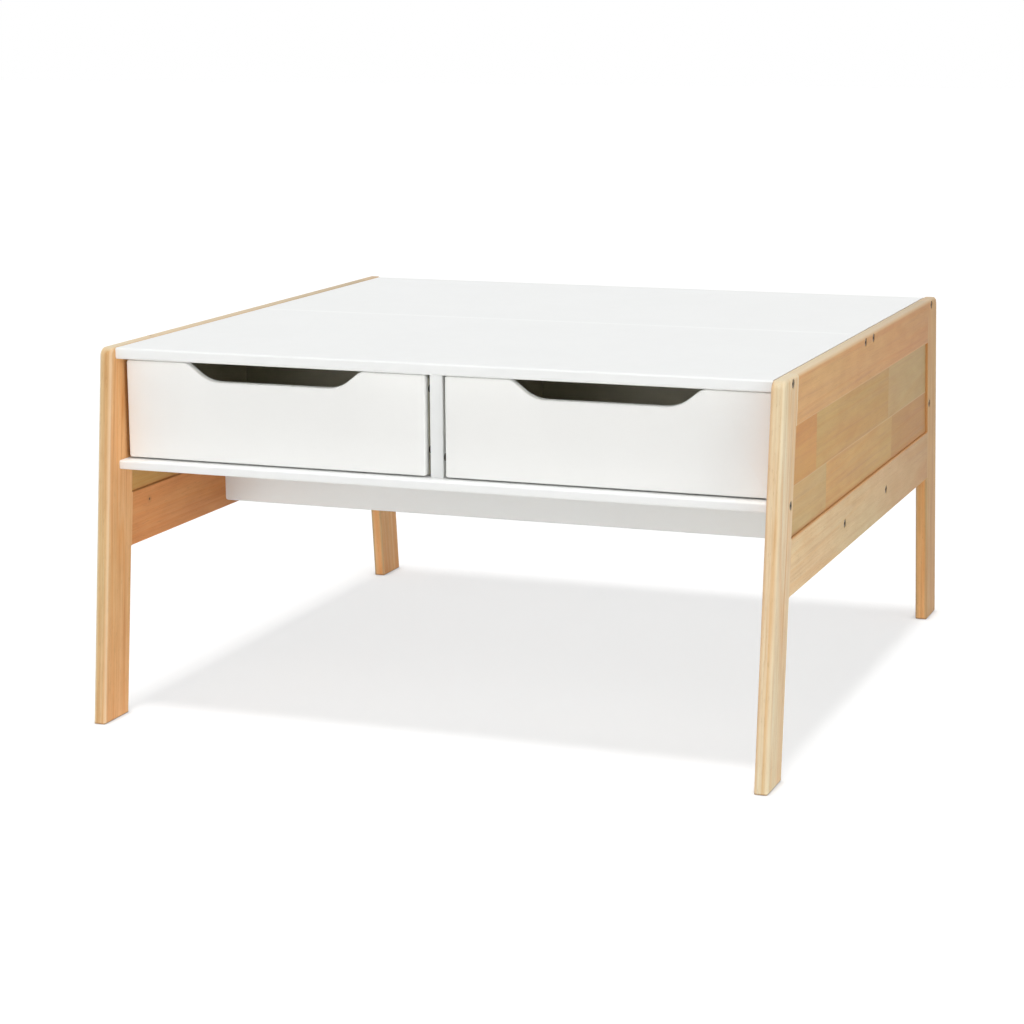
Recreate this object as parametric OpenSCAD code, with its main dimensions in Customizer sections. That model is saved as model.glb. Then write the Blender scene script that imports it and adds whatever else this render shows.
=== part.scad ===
// Low play table for children: two leaning wooden side frames carry a two-board top,
// a full-depth shelf and a centre divider. Two drawers slide out to the front.
// The origin is on the floor under the middle of the table, and the front is -Y.

/* [Table] */
// Clear width between the two side frames
inner_width = 894; // [700:1:1100]
// Height of the side frames
height = 500; // [460:1:560]
// Depth of the tabletop, front edge to rear edge
top_depth = 870; // [820:1:1000]

/* [Side frames] */
// Thickness of legs and rails
frame_thickness = 18; // [16:0.5:24]
// Front-to-back width of a leg, measured level
leg_width = 65; // [55:1:75]
// How far the foot of a leg stands out beyond its top
leg_lean = 54; // [20:1:80]
// How far the top of a leg stands out past the edge of the tabletop
leg_proud = 10.5; // [4:0.5:16]
// Height of the top rail
top_rail_height = 63; // [50:1:75]
// Height of the lower rail
lower_rail_height = 72; // [55:1:85]
// Height of the lower rail's underside above the floor
lower_rail_rise = 227; // [200:1:232]
// Rounding of the outer long edges of the legs and of the upper edges of the frames
edge_radius = 4.5; // [2:0.5:5.5]
// Rounding of the legs' long edges towards the panel
inner_edge_radius = 3; // [1:0.5:3]
// Radius of the outer top corner of a leg, seen from the side
corner_radius = 12; // [8:0.5:16]
// Easing of the edges round a foot
foot_easing = 3; // [1:0.5:4]

/* [Side panels] */
// Thickness of a side panel
panel_thickness = 12; // [10:0.5:14]
// Thickness of the tongue round a side panel
tongue_thickness = 6; // [4:0.5:7]
// How far the tongue reaches into legs and rails
tongue_length = 6; // [3:0.5:6.5]
// Open joint left round the visible face of a panel
panel_joint = 0.6; // [0.2:0.1:1.5]

/* [Tabletop] */
// Thickness of the tabletop boards
top_thickness = 15; // [14:0.5:20]
// How far the tabletop lies below the upper edge of the frames
top_drop = 1; // [0:0.5:6]
// Rounding of the front and rear edges of the tabletop
top_edge_radius = 3; // [1:0.5:5]
// Rounding of the two edges along the middle seam
seam_radius = 0.8; // [0.3:0.1:2]
// Width of the middle seam
seam_gap = 0.4; // [0.1:0.1:2]

/* [Shelf and divider] */
// Thickness of the shelf
shelf_thickness = 12; // [11:0.5:18]
// Height of the shelf's underside above the floor
shelf_rise = 336; // [320:1:350]
// Rounding of the shelf's front and rear edges
shelf_edge_radius = 2.5; // [1:0.5:4]
// Thickness of the centre divider
divider_thickness = 18; // [16:0.5:24]
// How far the divider stands back from the tabletop's edge
divider_setback = 24; // [15:1:40]
// Rounding of the divider's upright edges
divider_edge_radius = 1.5; // [0.5:0.5:4]

/* [Stretchers] */
// Thickness of the two stretchers under the shelf
stretcher_thickness = 15; // [14:0.5:20]
// Height of a stretcher
stretcher_height = 99.5; // [90:0.5:110]
// Distance from the tabletop's edge to a stretcher
stretcher_setback = 304; // [280:1:330]
// Radius of a stretcher's lower corners
stretcher_corner = 4; // [2:0.5:8]
// Rounding of a stretcher's lower edges
stretcher_edge_radius = 2; // [0.5:0.5:4]

/* [Drawers] */
// Distance from the tabletop's edge to the face of a drawer
drawer_setback = 19; // [10:1:23]
// Length of a drawer from its face to its back
drawer_length = 340; // [260:1:370]
// Thickness of the front, sides and back of a drawer
drawer_board = 12; // [11:0.5:15]
// Gap beside a drawer front
drawer_side_gap = 5; // [2:0.5:7]
// Gap above a drawer front
drawer_top_gap = 3.5; // [1:0.5:5]
// Gap under a drawer, above the shelf
drawer_lift = 2; // [1:0.5:4]
// How far the sides and back stay below the top of the front
drawer_side_drop = 6; // [2:0.5:12]
// Rounding of the edges of a drawer front
drawer_edge_radius = 1.5; // [0.5:0.25:3]
// Thickness of the drawer bottom
bottom_thickness = 5; // [3:0.5:6]
// Height of the drawer bottom above the lower edge of the sides
bottom_rise = 8; // [6:0.5:14]
// Depth of the grooves that hold the drawer bottom
bottom_groove = 5; // [3:0.5:6]

/* [Scoop handles] */
// Width of a scoop at the top edge of the drawer front
scoop_width = 254; // [180:1:330]
// Depth of a scoop
scoop_depth = 23.5; // [20:0.5:34]
// Steepest slope of a scoop's two ramps
scoop_slope = 40; // [30:1:44]
// Inner radius where a ramp meets the bottom of the scoop
scoop_low_radius = 48; // [30:1:52]
// Outer radius where a ramp meets the top edge
scoop_top_radius = 16; // [6:1:20]

/* [Drawer glides and stops] */
// Width of a glide under a drawer side
glide_width = 10; // [6:0.5:11]
// Length of a glide
glide_length = 40; // [20:1:80]
// Play between the glides and the shelf
glide_play = 0.2; // [0.1:0.1:0.5]
// Width of the stop block behind a drawer
stop_width = 80; // [40:1:160]
// Depth of a stop block
stop_depth = 18; // [12:1:30]
// Height of a stop block
stop_height = 22; // [14:1:40]
// Play between a closed drawer and its stop block
stop_play = 0.3; // [0.1:0.1:1]

/* [Fasteners] */
// Diameter of the bolt shanks
bolt_diameter = 6; // [5:0.5:6]
// Diameter of the bolt heads
bolt_head_diameter = 11; // [9:0.5:11.5]
// Thickness of the bolt heads
bolt_head_height = 3.5; // [2.5:0.1:4]
// Size of the hexagon socket in a bolt head, across flats
bolt_socket = 4; // [3:0.5:5]
// Length of a frame bolt below its head
bolt_length = 45; // [40:1:50]
// How far a bolt head lies below the surface of the wood
bolt_sink = 0.8; // [0.2:0.1:1.5]
// Diameter of the counterbores for the bolt heads
counterbore_diameter = 12; // [11.5:0.5:13]
// Diameter of the barrel nuts
barrel_diameter = 10; // [8:0.5:10]
// Length of a barrel nut
barrel_length = 9; // [8:0.5:9.5]
// Distance from the end of a board to its barrel nuts
barrel_inset = 24; // [18:1:28]
// Distance from the tabletop's edge to the outer bolts of the top
top_bolt_inset = 28; // [20:1:34]
// Distance from the middle seam to the inner bolts of the top
seam_bolt_offset = 23; // [15:1:40]
// Distance from the shelf's edge to its bolts
shelf_bolt_inset = 25; // [18:0.5:26]
// Distance from the ends of the divider to its bolts
divider_bolt_inset = 8; // [7:0.5:30]
// Height of the divider's barrel nuts above the shelf
divider_barrel_rise = 26; // [18:1:40]
// Diameter of the wooden dowels
dowel_diameter = 8; // [6:0.5:8]
// Length of the dowels between legs and rails
dowel_length = 36; // [24:1:36]
// Length of the dowels in the ends of boards
short_dowel_length = 20; // [16:1:22]
// Diameter of the cam locks in the drawer sides
cam_diameter = 10; // [8:0.5:12]
// Depth of a cam lock
cam_depth = 9; // [7:0.5:10]
// Distance from the drawer front to the middle of a cam lock
cam_inset = 6.5; // [6.5:0.5:12]
// Height of the lower cam locks above the drawer's lower edge
cam_low_rise = 32; // [24:1:40]
// Distance from the top of a drawer side to the upper cam locks
cam_top_inset = 13.5; // [9:0.5:30]
// Diameter of the post that a cam lock grips
cam_post_diameter = 4; // [3:0.5:5]
// Diameter of the wood screws at the back of a drawer
screw_diameter = 3.5; // [3:0.1:4]
// Length of the wood screws
screw_length = 32; // [25:1:40]

/* [Hidden] */

$fn = 64;
// Colours
wood = [0.87, 0.72, 0.50];
pale_wood = [0.90, 0.79, 0.60];
white_paint = [0.94, 0.94, 0.92];
dark_metal = [0.25, 0.23, 0.21];
zinc = [0.62, 0.62, 0.62];
nylon = [0.88, 0.88, 0.86];
// Overshoot of a cutter past the face that it cuts
over = 1;
// Play all round a bolt, barrel nut or dowel in its hole
hole_play = 0.3;
glue_play = 0.1;
// Play of a thread or screw in the piece that it turns in
thread_play = 0.1;
// Play of a tongue or a drawer bottom in its groove
groove_play = 0.2;
// How deep a bolt hole runs on past the end of the bolt
bolt_run_out = 3;
// Left and right, front and rear
LEFT = -1;
RIGHT = 1;
FRONT = -1;
REAR = 1;
ENDS = [FRONT, REAR];
SIDES = [LEFT, RIGHT];

// Heights
top_surface = height - top_drop;
top_underside = top_surface - top_thickness;
top_middle = top_surface - top_thickness / 2;
shelf_top = shelf_rise + shelf_thickness;
shelf_middle = shelf_rise + shelf_thickness / 2;
stretcher_rise = shelf_rise - stretcher_height;
top_rail_rise = height - top_rail_height;
lower_rail_top = lower_rail_rise + lower_rail_height;
lower_rail_middle = lower_rail_rise + lower_rail_height / 2;
bay_height = top_underside - shelf_top;

// Places across the table
frame_face = inner_width / 2;
frame_middle = frame_face + frame_thickness / 2;
outer_face = frame_face + frame_thickness;
divider_face = divider_thickness / 2;
barrel_x = frame_face - barrel_inset;

// Places from front to rear
top_edge = top_depth / 2;
stretcher_middle = top_edge - stretcher_setback - stretcher_thickness / 2;
divider_end = top_edge - divider_setback;

// The lean of a leg, and its middle line at the floor and at full height
lean = atan(leg_lean / height);
leg_middle_top = top_edge + leg_proud - leg_width / 2;
leg_middle_foot = leg_middle_top + leg_lean;

// Distance of a leg's outer and inner edge from the middle of the table at height z
function leg_middle(z) = leg_middle_foot - leg_lean * z / height;
function leg_outer(z) = leg_middle(z) + leg_width / 2;
function leg_inner(z) = leg_middle(z) - leg_width / 2;

// Middle of the leg's top corner radius, as a distance from the table's middle and a height
corner_z = height - corner_radius;
corner_y = leg_outer(corner_z) - corner_radius / cos(lean);

// Drawers
drawer_width = (inner_width - divider_thickness) / 2 - 2 * drawer_side_gap;
drawer_middle = divider_face + drawer_side_gap + drawer_width / 2;
drawer_rise = shelf_top + drawer_lift;
drawer_height = bay_height - drawer_lift - drawer_top_gap;
drawer_face = -(top_edge - drawer_setback);
drawer_front_back = drawer_face + drawer_board;
drawer_end = drawer_face + drawer_length;
drawer_side_height = drawer_height - drawer_side_drop;
drawer_side_length = drawer_length - drawer_board;
drawer_inner_width = drawer_width - 2 * drawer_board;

// Scoop: run of one ramp, from the tangent points of its two arcs
scoop_arc_drop = (scoop_low_radius + scoop_top_radius) * (1 - cos(scoop_slope));
scoop_straight = (scoop_depth - scoop_arc_drop) / sin(scoop_slope);
scoop_run = (scoop_low_radius + scoop_top_radius) * sin(scoop_slope)
    + scoop_straight * cos(scoop_slope);
scoop_flat = scoop_width / 2 - scoop_run;

// Bolts through a side frame: distance from the table's middle, and height
counterbore_depth = bolt_head_height + bolt_sink;
leg_bolts = [
    [top_edge - top_bolt_inset, top_middle],
    [top_edge - shelf_bolt_inset, shelf_middle]
];
top_rail_bolt = [seam_bolt_offset, top_middle];
lower_rail_bolt = [stretcher_middle, lower_rail_middle];
all_bolts = concat(leg_bolts, [top_rail_bolt, lower_rail_bolt]);

// Dowels between a rail and a leg, as heights
top_dowels = [top_rail_rise + tongue_length + dowel_diameter, height - dowel_diameter * 2];
lower_dowels = [lower_rail_rise + lower_rail_height / 4, lower_rail_rise + lower_rail_height * 2 / 3];
stretcher_dowel_height = lower_rail_top - dowel_diameter * 1.75;

// Fixings of the divider
divider_bolt_y = divider_end - divider_bolt_inset;
divider_barrel_height = shelf_top + divider_barrel_rise;
divider_dowel_ys = [top_edge / 4, top_edge * 3 / 4];
divider_bolt_length = shelf_thickness - counterbore_depth + divider_barrel_rise + barrel_diameter / 2;

// Cam locks and screws, as heights
cam_heights = [drawer_rise + cam_low_rise, drawer_rise + drawer_side_height - cam_top_inset];
cam_y = drawer_front_back + cam_inset;
cam_post_bite = drawer_board * 2 / 3;
screw_head_diameter = 2 * screw_diameter;
screw_head_height = screw_diameter * 0.7;

// ---------------------------------------------------------------- helpers

function unit(v) = v / norm(v);

// A convex outline whose corners are rounded by true arcs; radii holds one value a corner,
// and a corner with a radius of 0 stays sharp
module rounded_outline(points, radii) {
    count = len(points);
    before = [for (i = [0 : count - 1]) unit(points[(i + count - 1) % count] - points[i])];
    after = [for (i = [0 : count - 1]) unit(points[(i + 1) % count] - points[i])];
    half_angle = [for (i = [0 : count - 1]) acos(before[i] * after[i]) / 2];
    tangents = [
        for (i = [0 : count - 1])
            for (way = radii[i] > 0 ? [before[i], after[i]] : [[0, 0]])
                points[i] + way * radii[i] / tan(half_angle[i])
    ];
    polygon(tangents);
    for (i = [0 : count - 1])
        if (radii[i] > 0)
            translate(points[i] + unit(before[i] + after[i]) * radii[i] / sin(half_angle[i]))
                circle(r = radii[i]);
}

// A rectangle from low to high; radii go round from the low corner by way of the first axis
module rounded_box(low, high, radii) {
    rounded_outline([low, [high[0], low[1]], high, [low[0], high[1]]], radii);
}

// Stand a drawing of depth and height up and give it a thickness across the table
module across(thickness) {
    rotate([90, 0, 90])
        linear_extrude(thickness, center = true)
            children();
}

// Stand a drawing of width and height up and run it from front to rear
module along(length) {
    rotate([90, 0, 0])
        linear_extrude(length, center = true)
            children();
}

// Put a piece made for the right-hand side on the given side
module on_side(side) {
    mirror([side == LEFT ? 1 : 0, 0, 0])
        children();
}

// Put a piece made for the rear on the given end
module on_end(end) {
    mirror([0, end == FRONT ? 1 : 0, 0])
        children();
}

module rod_x(diameter, length) {
    rotate([0, 90, 0])
        cylinder(d = diameter, h = length, center = true);
}

module rod_y(diameter, length) {
    rotate([90, 0, 0])
        cylinder(d = diameter, h = length, center = true);
}

// ---------------------------------------------------------------- side frames

// Opening between legs and rails, made larger all round by grow
module opening_outline(grow) {
    low = lower_rail_top - grow;
    high = top_rail_rise + grow;
    low_y = leg_inner(low) + grow / cos(lean);
    high_y = leg_inner(high) + grow / cos(lean);
    polygon([[-low_y, low], [low_y, low], [high_y, high], [-high_y, high]]);
}

// Groove for the panel's tongue, cut out of legs and rails
module panel_groove() {
    translate([frame_middle, 0, 0])
        across(tongue_thickness + 2 * groove_play)
            opening_outline(tongue_length + groove_play);
}

// Counterbored hole for one frame bolt, open on both faces of the frame
module frame_bolt_hole(bolt) {
    translate([frame_middle, bolt[0], bolt[1]])
        rod_x(bolt_diameter + 2 * hole_play, frame_thickness + 2 * over);
    translate([outer_face - counterbore_depth, bolt[0], bolt[1]])
        rotate([0, 90, 0])
            cylinder(d = counterbore_diameter, h = counterbore_depth + over);
}

// Dowel or its hole across the joint between a rear leg and a rail
module frame_dowel(z, play) {
    translate([frame_middle, leg_inner(z), z])
        rod_y(dowel_diameter + 2 * play, dowel_length + 2 * play);
}

module frame_dowel_holes() {
    for (z = concat(top_dowels, lower_dowels))
        frame_dowel(z, glue_play);
}

// Full-thickness slice of a leg with a square inner edge, where a rail meets it
module rail_seat(low, high) {
    across(frame_thickness)
        polygon([
            [leg_middle(low), low],
            [leg_inner(low), low],
            [leg_inner(high), high],
            [leg_middle(high), high]
        ]);
}

// Leaning bar with four rounded long edges, up to the start of the top corner
module leg_bar() {
    half = [frame_thickness / 2, leg_width * cos(lean) / 2];
    radii = [inner_edge_radius, inner_edge_radius, edge_radius, edge_radius];
    // The bar starts below the floor, where the foot is then cut level
    overrun = leg_width;
    // Distance along the bar from the floor to the middle of the top corner
    reach = (corner_z - (corner_y - leg_middle(0)) * tan(lean)) * cos(lean);
    translate([0, leg_middle(0), 0])
        rotate([lean, 0, 0])
            translate([0, 0, -overrun])
                linear_extrude(overrun + reach)
                    rounded_box(-half, half, radii);
}

// Rounded outer top corner, a disc whose rims are rounded like the long edges
module leg_corner() {
    translate([0, corner_y, corner_z])
        rotate([0, 90, 0])
            rotate_extrude()
                intersection() {
                    rounded_box(
                        [-corner_radius, -frame_thickness / 2],
                        [corner_radius, frame_thickness / 2],
                        [edge_radius, edge_radius, edge_radius, edge_radius]
                    );
                    translate([0, -frame_thickness])
                        square([corner_radius, 2 * frame_thickness]);
                }
}

// Top of a leg inside the corner, with rounded upper edges, up to the slanted joint
module leg_head() {
    intersection() {
        translate([0, corner_y / 2, 0])
            along(corner_y)
                rounded_box(
                    [-frame_thickness / 2, top_rail_rise],
                    [frame_thickness / 2, height],
                    [0, 0, edge_radius, edge_radius]
                );
        across(frame_thickness + 2 * over)
            polygon([
                [leg_inner(top_rail_rise), top_rail_rise],
                [corner_y, top_rail_rise],
                [corner_y, height + over],
                [leg_inner(height + over), height + over]
            ]);
    }
}

// Room that a leg may fill at its foot: everything above the floor, with eased lower edges
module foot_trim() {
    slack = foot_easing / 4;
    intersection() {
        across(2 * frame_thickness)
            rounded_outline(
                [
                    [leg_inner(0) - slack, 0],
                    [leg_outer(0) + slack, 0],
                    [leg_outer(height) + slack + leg_lean, 2 * height],
                    [leg_inner(height) - slack - leg_lean, 2 * height]
                ],
                [foot_easing, foot_easing, foot_easing, foot_easing]
            );
        translate([0, leg_middle(height / 2), 0])
            along(3 * leg_width + 2 * leg_lean)
                rounded_box(
                    [-frame_thickness / 2, 0],
                    [frame_thickness / 2, 2 * height],
                    [foot_easing, foot_easing, foot_easing, foot_easing]
                );
    }
}

module leg(side, end) {
    color(pale_wood)
        on_side(side)
            on_end(end)
                difference() {
                    translate([frame_middle, 0, 0]) {
                        intersection() {
                            leg_bar();
                            foot_trim();
                        }
                        leg_corner();
                        leg_head();
                        rail_seat(lower_rail_rise, lower_rail_top);
                    }
                    panel_groove();
                    frame_dowel_holes();
                    for (bolt = leg_bolts)
                        frame_bolt_hole(bolt);
                }
}

// Space between the two legs of a frame, from low to high
module between_legs(low, high) {
    across(frame_thickness + 2 * over)
        polygon([
            [-leg_inner(low), low],
            [leg_inner(low), low],
            [leg_inner(high), high],
            [-leg_inner(high), high]
        ]);
}

// Rail of the right-hand frame with its slanted ends, groove and holes for one pair of bolts
module rail(low, high, radii, bolt) {
    difference() {
        translate([frame_middle, 0, 0])
            intersection() {
                along(2 * leg_inner(0))
                    rounded_box([-frame_thickness / 2, low], [frame_thickness / 2, high], radii);
                between_legs(low - over, high + over);
            }
        panel_groove();
        for (end = ENDS)
            on_end(end) {
                frame_dowel_holes();
                frame_bolt_hole(bolt);
            }
    }
}

module top_rail(side) {
    inner = inner_edge_radius / 3;
    color(wood)
        on_side(side)
            rail(top_rail_rise, height, [inner, inner, edge_radius, edge_radius], top_rail_bolt);
}

module lower_rail(side) {
    easing = inner_edge_radius / 2;
    color(wood)
        on_side(side)
            difference() {
                rail(lower_rail_rise, lower_rail_top, [easing, easing, easing, easing], lower_rail_bolt);
                stretcher_dowels_at(RIGHT, glue_play);
            }
}

module side_panel(side) {
    color(wood)
        on_side(side)
            translate([frame_middle, 0, 0]) {
                across(panel_thickness)
                    opening_outline(-panel_joint);
                across(tongue_thickness)
                    opening_outline(tongue_length);
            }
}

// ---------------------------------------------------------------- boards

// Hole for a frame bolt and its barrel nut at the right-hand end of a board.
// turn says which way the barrel's hole opens: 0 is down, 90 is to the middle of the table.
module board_end_hole(bolt, turn, reach) {
    bolt_tip = outer_face - counterbore_depth - bolt_length;
    translate([bolt_tip - bolt_run_out, bolt[0], bolt[1]])
        rotate([0, 90, 0])
            cylinder(d = bolt_diameter + 2 * hole_play, h = frame_face - bolt_tip + bolt_run_out + over);
    depth = reach + barrel_length / 2 + hole_play;
    translate([barrel_x, bolt[0], bolt[1]])
        rotate([-turn, 0, 0])
            translate([0, 0, -reach - over])
                cylinder(d = barrel_diameter + 2 * hole_play, h = depth + over);
}

module top_board(end) {
    color(white_paint)
        on_end(end)
            difference() {
                across(inner_width)
                    rounded_box(
                        [seam_gap / 2, top_underside],
                        [top_edge, top_surface],
                        [seam_radius, top_edge_radius, top_edge_radius, seam_radius]
                    );
                for (side = SIDES)
                    on_side(side)
                        for (bolt = [leg_bolts[0], top_rail_bolt])
                            board_end_hole(bolt, 0, top_thickness / 2);
                for (y = divider_dowel_ys)
                    divider_dowel(y, glue_play);
            }
}

module shelf() {
    radii = [shelf_edge_radius, shelf_edge_radius, shelf_edge_radius, shelf_edge_radius];
    color(white_paint)
        difference() {
            across(inner_width)
                rounded_box([-top_edge, shelf_rise], [top_edge, shelf_top], radii);
            for (side = SIDES)
                for (end = ENDS)
                    on_side(side)
                        on_end(end)
                            board_end_hole(leg_bolts[1], 0, shelf_thickness / 2);
            for (end = ENDS)
                on_end(end)
                    divider_bolt_hole();
        }
}

module divider_bolt_hole() {
    translate([0, divider_bolt_y, shelf_rise - over])
        cylinder(
            d = bolt_diameter + 2 * hole_play,
            h = shelf_thickness + divider_barrel_rise + barrel_diameter + over
        );
    translate([0, divider_bolt_y, shelf_rise - over])
        cylinder(d = counterbore_diameter, h = counterbore_depth + over);
}

module divider_dowel(y, play) {
    translate([0, y, top_underside])
        cylinder(d = dowel_diameter + 2 * play, h = short_dowel_length + 2 * play, center = true);
}

module centre_divider() {
    radii = [divider_edge_radius, divider_edge_radius, divider_edge_radius, divider_edge_radius];
    color(white_paint)
        difference() {
            translate([0, 0, shelf_top])
                linear_extrude(bay_height)
                    rounded_box([-divider_face, -divider_end], [divider_face, divider_end], radii);
            for (end = ENDS)
                on_end(end) {
                    divider_bolt_hole();
                    translate([0, divider_bolt_y, divider_barrel_height])
                        rod_x(barrel_diameter + 2 * hole_play, divider_thickness + 2 * over);
                    for (y = divider_dowel_ys)
                        divider_dowel(y, glue_play);
                }
        }
}

// Dowel in the end of each stretcher on one side
module stretcher_dowels_at(side, play) {
    for (end = ENDS)
        translate([side * frame_face, end * stretcher_middle, stretcher_dowel_height])
            rod_x(dowel_diameter + 2 * play, short_dowel_length + 2 * play);
}

module stretcher(end) {
    low_y = stretcher_middle - stretcher_thickness / 2;
    high_y = stretcher_middle + stretcher_thickness / 2;
    corners = [stretcher_corner, stretcher_corner, 0, 0];
    edges = [stretcher_edge_radius, stretcher_edge_radius, 0, 0];
    color(white_paint)
        on_end(end)
            difference() {
                intersection() {
                    translate([0, stretcher_middle, 0])
                        along(stretcher_thickness)
                            rounded_box([-frame_face, stretcher_rise], [frame_face, shelf_rise], corners);
                    across(inner_width)
                        rounded_box([low_y, stretcher_rise], [high_y, shelf_rise], edges);
                }
                for (side = SIDES) {
                    on_side(side)
                        board_end_hole(lower_rail_bolt, 90, stretcher_thickness / 2);
                    stretcher_dowels_at(side, glue_play);
                }
            }
}

// ---------------------------------------------------------------- drawers

// Outline that a scoop cuts away, with its middle on the top edge of the front
module scoop_outline() {
    normal = [sin(scoop_slope), -cos(scoop_slope)];
    low_centre = [scoop_flat, scoop_low_radius - scoop_depth];
    top_centre = [scoop_width / 2, -scoop_top_radius];
    low_tangent = low_centre + scoop_low_radius * normal;
    top_tangent = top_centre - scoop_top_radius * normal;
    difference() {
        union() {
            for (side = SIDES)
                mirror([side == LEFT ? 1 : 0, 0])
                    polygon([
                        [0, -scoop_depth],
                        [scoop_flat, -scoop_depth],
                        low_tangent,
                        top_tangent,
                        [scoop_width / 2, 0],
                        [scoop_width / 2, over],
                        [0, over]
                    ]);
            for (side = SIDES)
                translate([side * low_centre[0], low_centre[1]])
                    circle(r = scoop_low_radius, $fn = 128);
        }
        for (side = SIDES)
            translate([side * top_centre[0], top_centre[1]])
                circle(r = scoop_top_radius, $fn = 128);
    }
}

// The space that the drawer bottom takes, made larger by play
module drawer_bottom_shape(play) {
    reach = bottom_groove - groove_play + play;
    translate([-drawer_inner_width / 2 - reach, drawer_front_back - reach, drawer_rise + bottom_rise - play])
        cube([
            drawer_inner_width + 2 * reach,
            drawer_side_length - drawer_board + 2 * reach,
            bottom_thickness + 2 * play
        ]);
}

module cam_lock_hole(z) {
    translate([drawer_width / 2 - cam_depth, cam_y, z])
        rotate([0, 90, 0])
            cylinder(d = cam_diameter + glue_play, h = cam_depth + over);
}

// Post from the drawer front into the end of a side, on the side board's middle plane
module cam_post(z, play) {
    reach = cam_y - drawer_front_back;
    translate([drawer_width / 2 - drawer_board / 2, drawer_front_back - cam_post_bite - play, z])
        rotate([-90, 0, 0])
            cylinder(d = cam_post_diameter + 2 * play, h = cam_post_bite + reach + 2 * play);
}

// Wood screw through a side into the end of the back
module back_screw(z, play) {
    translate([drawer_width / 2, drawer_end - drawer_board / 2, z])
        rotate([0, -90, 0]) {
            cylinder(d = screw_diameter + 2 * play, h = screw_length + play);
            cylinder(
                d1 = screw_head_diameter + 2 * play,
                d2 = screw_diameter + 2 * play,
                h = screw_head_height
            );
        }
}

// Repeat a fixing at both heights on both sides of a drawer
module at_drawer_corners() {
    for (side = SIDES)
        on_side(side)
            for (z = cam_heights)
                translate([0, 0, z])
                    children();
}

// Put a piece made for a drawer in the middle of the table into the left or right bay
module in_bay(side) {
    translate([side * drawer_middle, 0, 0])
        children();
}

module drawer_front(side) {
    half = drawer_width / 2;
    top = drawer_rise + drawer_height;
    soft = drawer_edge_radius;
    color(white_paint)
        in_bay(side)
            difference() {
                intersection() {
                    across(drawer_width)
                        rounded_box(
                            [drawer_face, drawer_rise],
                            [drawer_front_back, top],
                            [soft, 0, 0, soft]
                        );
                    translate([0, 0, drawer_rise])
                        linear_extrude(drawer_height)
                            rounded_box(
                                [-half, drawer_face],
                                [half, drawer_front_back],
                                [soft, soft, 0, 0]
                            );
                }
                translate([0, drawer_face + drawer_board / 2, top])
                    along(drawer_board + 2 * over)
                        scoop_outline();
                drawer_bottom_shape(groove_play);
                at_drawer_corners()
                    cam_post(0, thread_play);
            }
}

module drawer_side(bay, side) {
    color(white_paint)
        in_bay(bay)
            on_side(side)
                difference() {
                    translate([drawer_width / 2 - drawer_board, drawer_front_back, drawer_rise])
                        cube([drawer_board, drawer_side_length, drawer_side_height]);
                    drawer_bottom_shape(groove_play);
                    for (z = cam_heights) {
                        cam_lock_hole(z);
                        cam_post(z, thread_play);
                        back_screw(z, thread_play);
                    }
                }
}

module drawer_back(bay) {
    color(white_paint)
        in_bay(bay)
            difference() {
                translate([-drawer_inner_width / 2, drawer_end - drawer_board, drawer_rise])
                    cube([drawer_inner_width, drawer_board, drawer_side_height]);
                drawer_bottom_shape(groove_play);
                at_drawer_corners()
                    back_screw(0, thread_play);
            }
}

module drawer_bottom(bay) {
    color(white_paint)
        in_bay(bay)
            drawer_bottom_shape(0);
}

// Thin strips under the front and rear end of both sides, which carry the drawer on the shelf
module drawer_glides(bay) {
    thickness = drawer_lift - glide_play;
    inset = (drawer_board - glide_width) / 2;
    x = drawer_width / 2 - drawer_board + inset;
    color(nylon)
        in_bay(bay)
            for (side = SIDES)
                on_side(side)
                    for (y = [drawer_front_back + inset, drawer_end - glide_length - inset])
                        translate([x, y, drawer_rise - thickness])
                            cube([glide_width, glide_length, thickness]);
}

// Cam lock: a short drum with a crossed slot in its face and a pocket that grips the post
module cam_lock() {
    slot = cam_diameter / 6;
    difference() {
        translate([drawer_width / 2 - cam_depth, cam_y, 0])
            rotate([0, 90, 0])
                cylinder(d = cam_diameter, h = cam_depth);
        for (turn = [0, 90])
            translate([drawer_width / 2, cam_y, 0])
                rotate([turn, 0, 0])
                    cube([slot * 2, slot, cam_diameter * 0.7], center = true);
        cam_post(0, thread_play);
    }
}

module drawer_cam_locks(bay) {
    color(dark_metal)
        in_bay(bay)
            at_drawer_corners()
                cam_lock();
}

module drawer_cam_posts(bay) {
    color(zinc)
        in_bay(bay)
            at_drawer_corners()
                cam_post(0, 0);
}

module drawer_screws(bay) {
    color(zinc)
        in_bay(bay)
            at_drawer_corners()
                back_screw(0, 0);
}

// Block on the shelf that a closed drawer comes to rest against
module drawer_stop(bay) {
    color(pale_wood)
        in_bay(bay)
            translate([-stop_width / 2, drawer_end + stop_play, shelf_top])
                cube([stop_width, stop_depth, stop_height]);
}

// ---------------------------------------------------------------- fasteners

// Bolt whose head sits on the plane x = 0 and whose shank runs to -X
module bolt(length) {
    rotate([0, -90, 0])
        cylinder(d = bolt_diameter, h = length);
    difference() {
        rotate([0, 90, 0])
            cylinder(d = bolt_head_diameter, h = bolt_head_height);
        translate([bolt_head_height / 3, 0, 0])
            rotate([0, 90, 0])
                cylinder(d = bolt_socket / cos(30), h = bolt_head_height, $fn = 6);
    }
}

// Barrel nut standing upright, with its cross hole along X
module barrel_nut(length) {
    difference() {
        cylinder(d = barrel_diameter, h = length, center = true);
        rod_x(bolt_diameter + 2 * thread_play, barrel_diameter + 2 * over);
    }
}

module frame_bolts(side) {
    color(dark_metal)
        on_side(side)
            for (end = ENDS)
                on_end(end)
                    for (place = all_bolts)
                        translate([outer_face - counterbore_depth, place[0], place[1]])
                            bolt(bolt_length);
}

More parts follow.
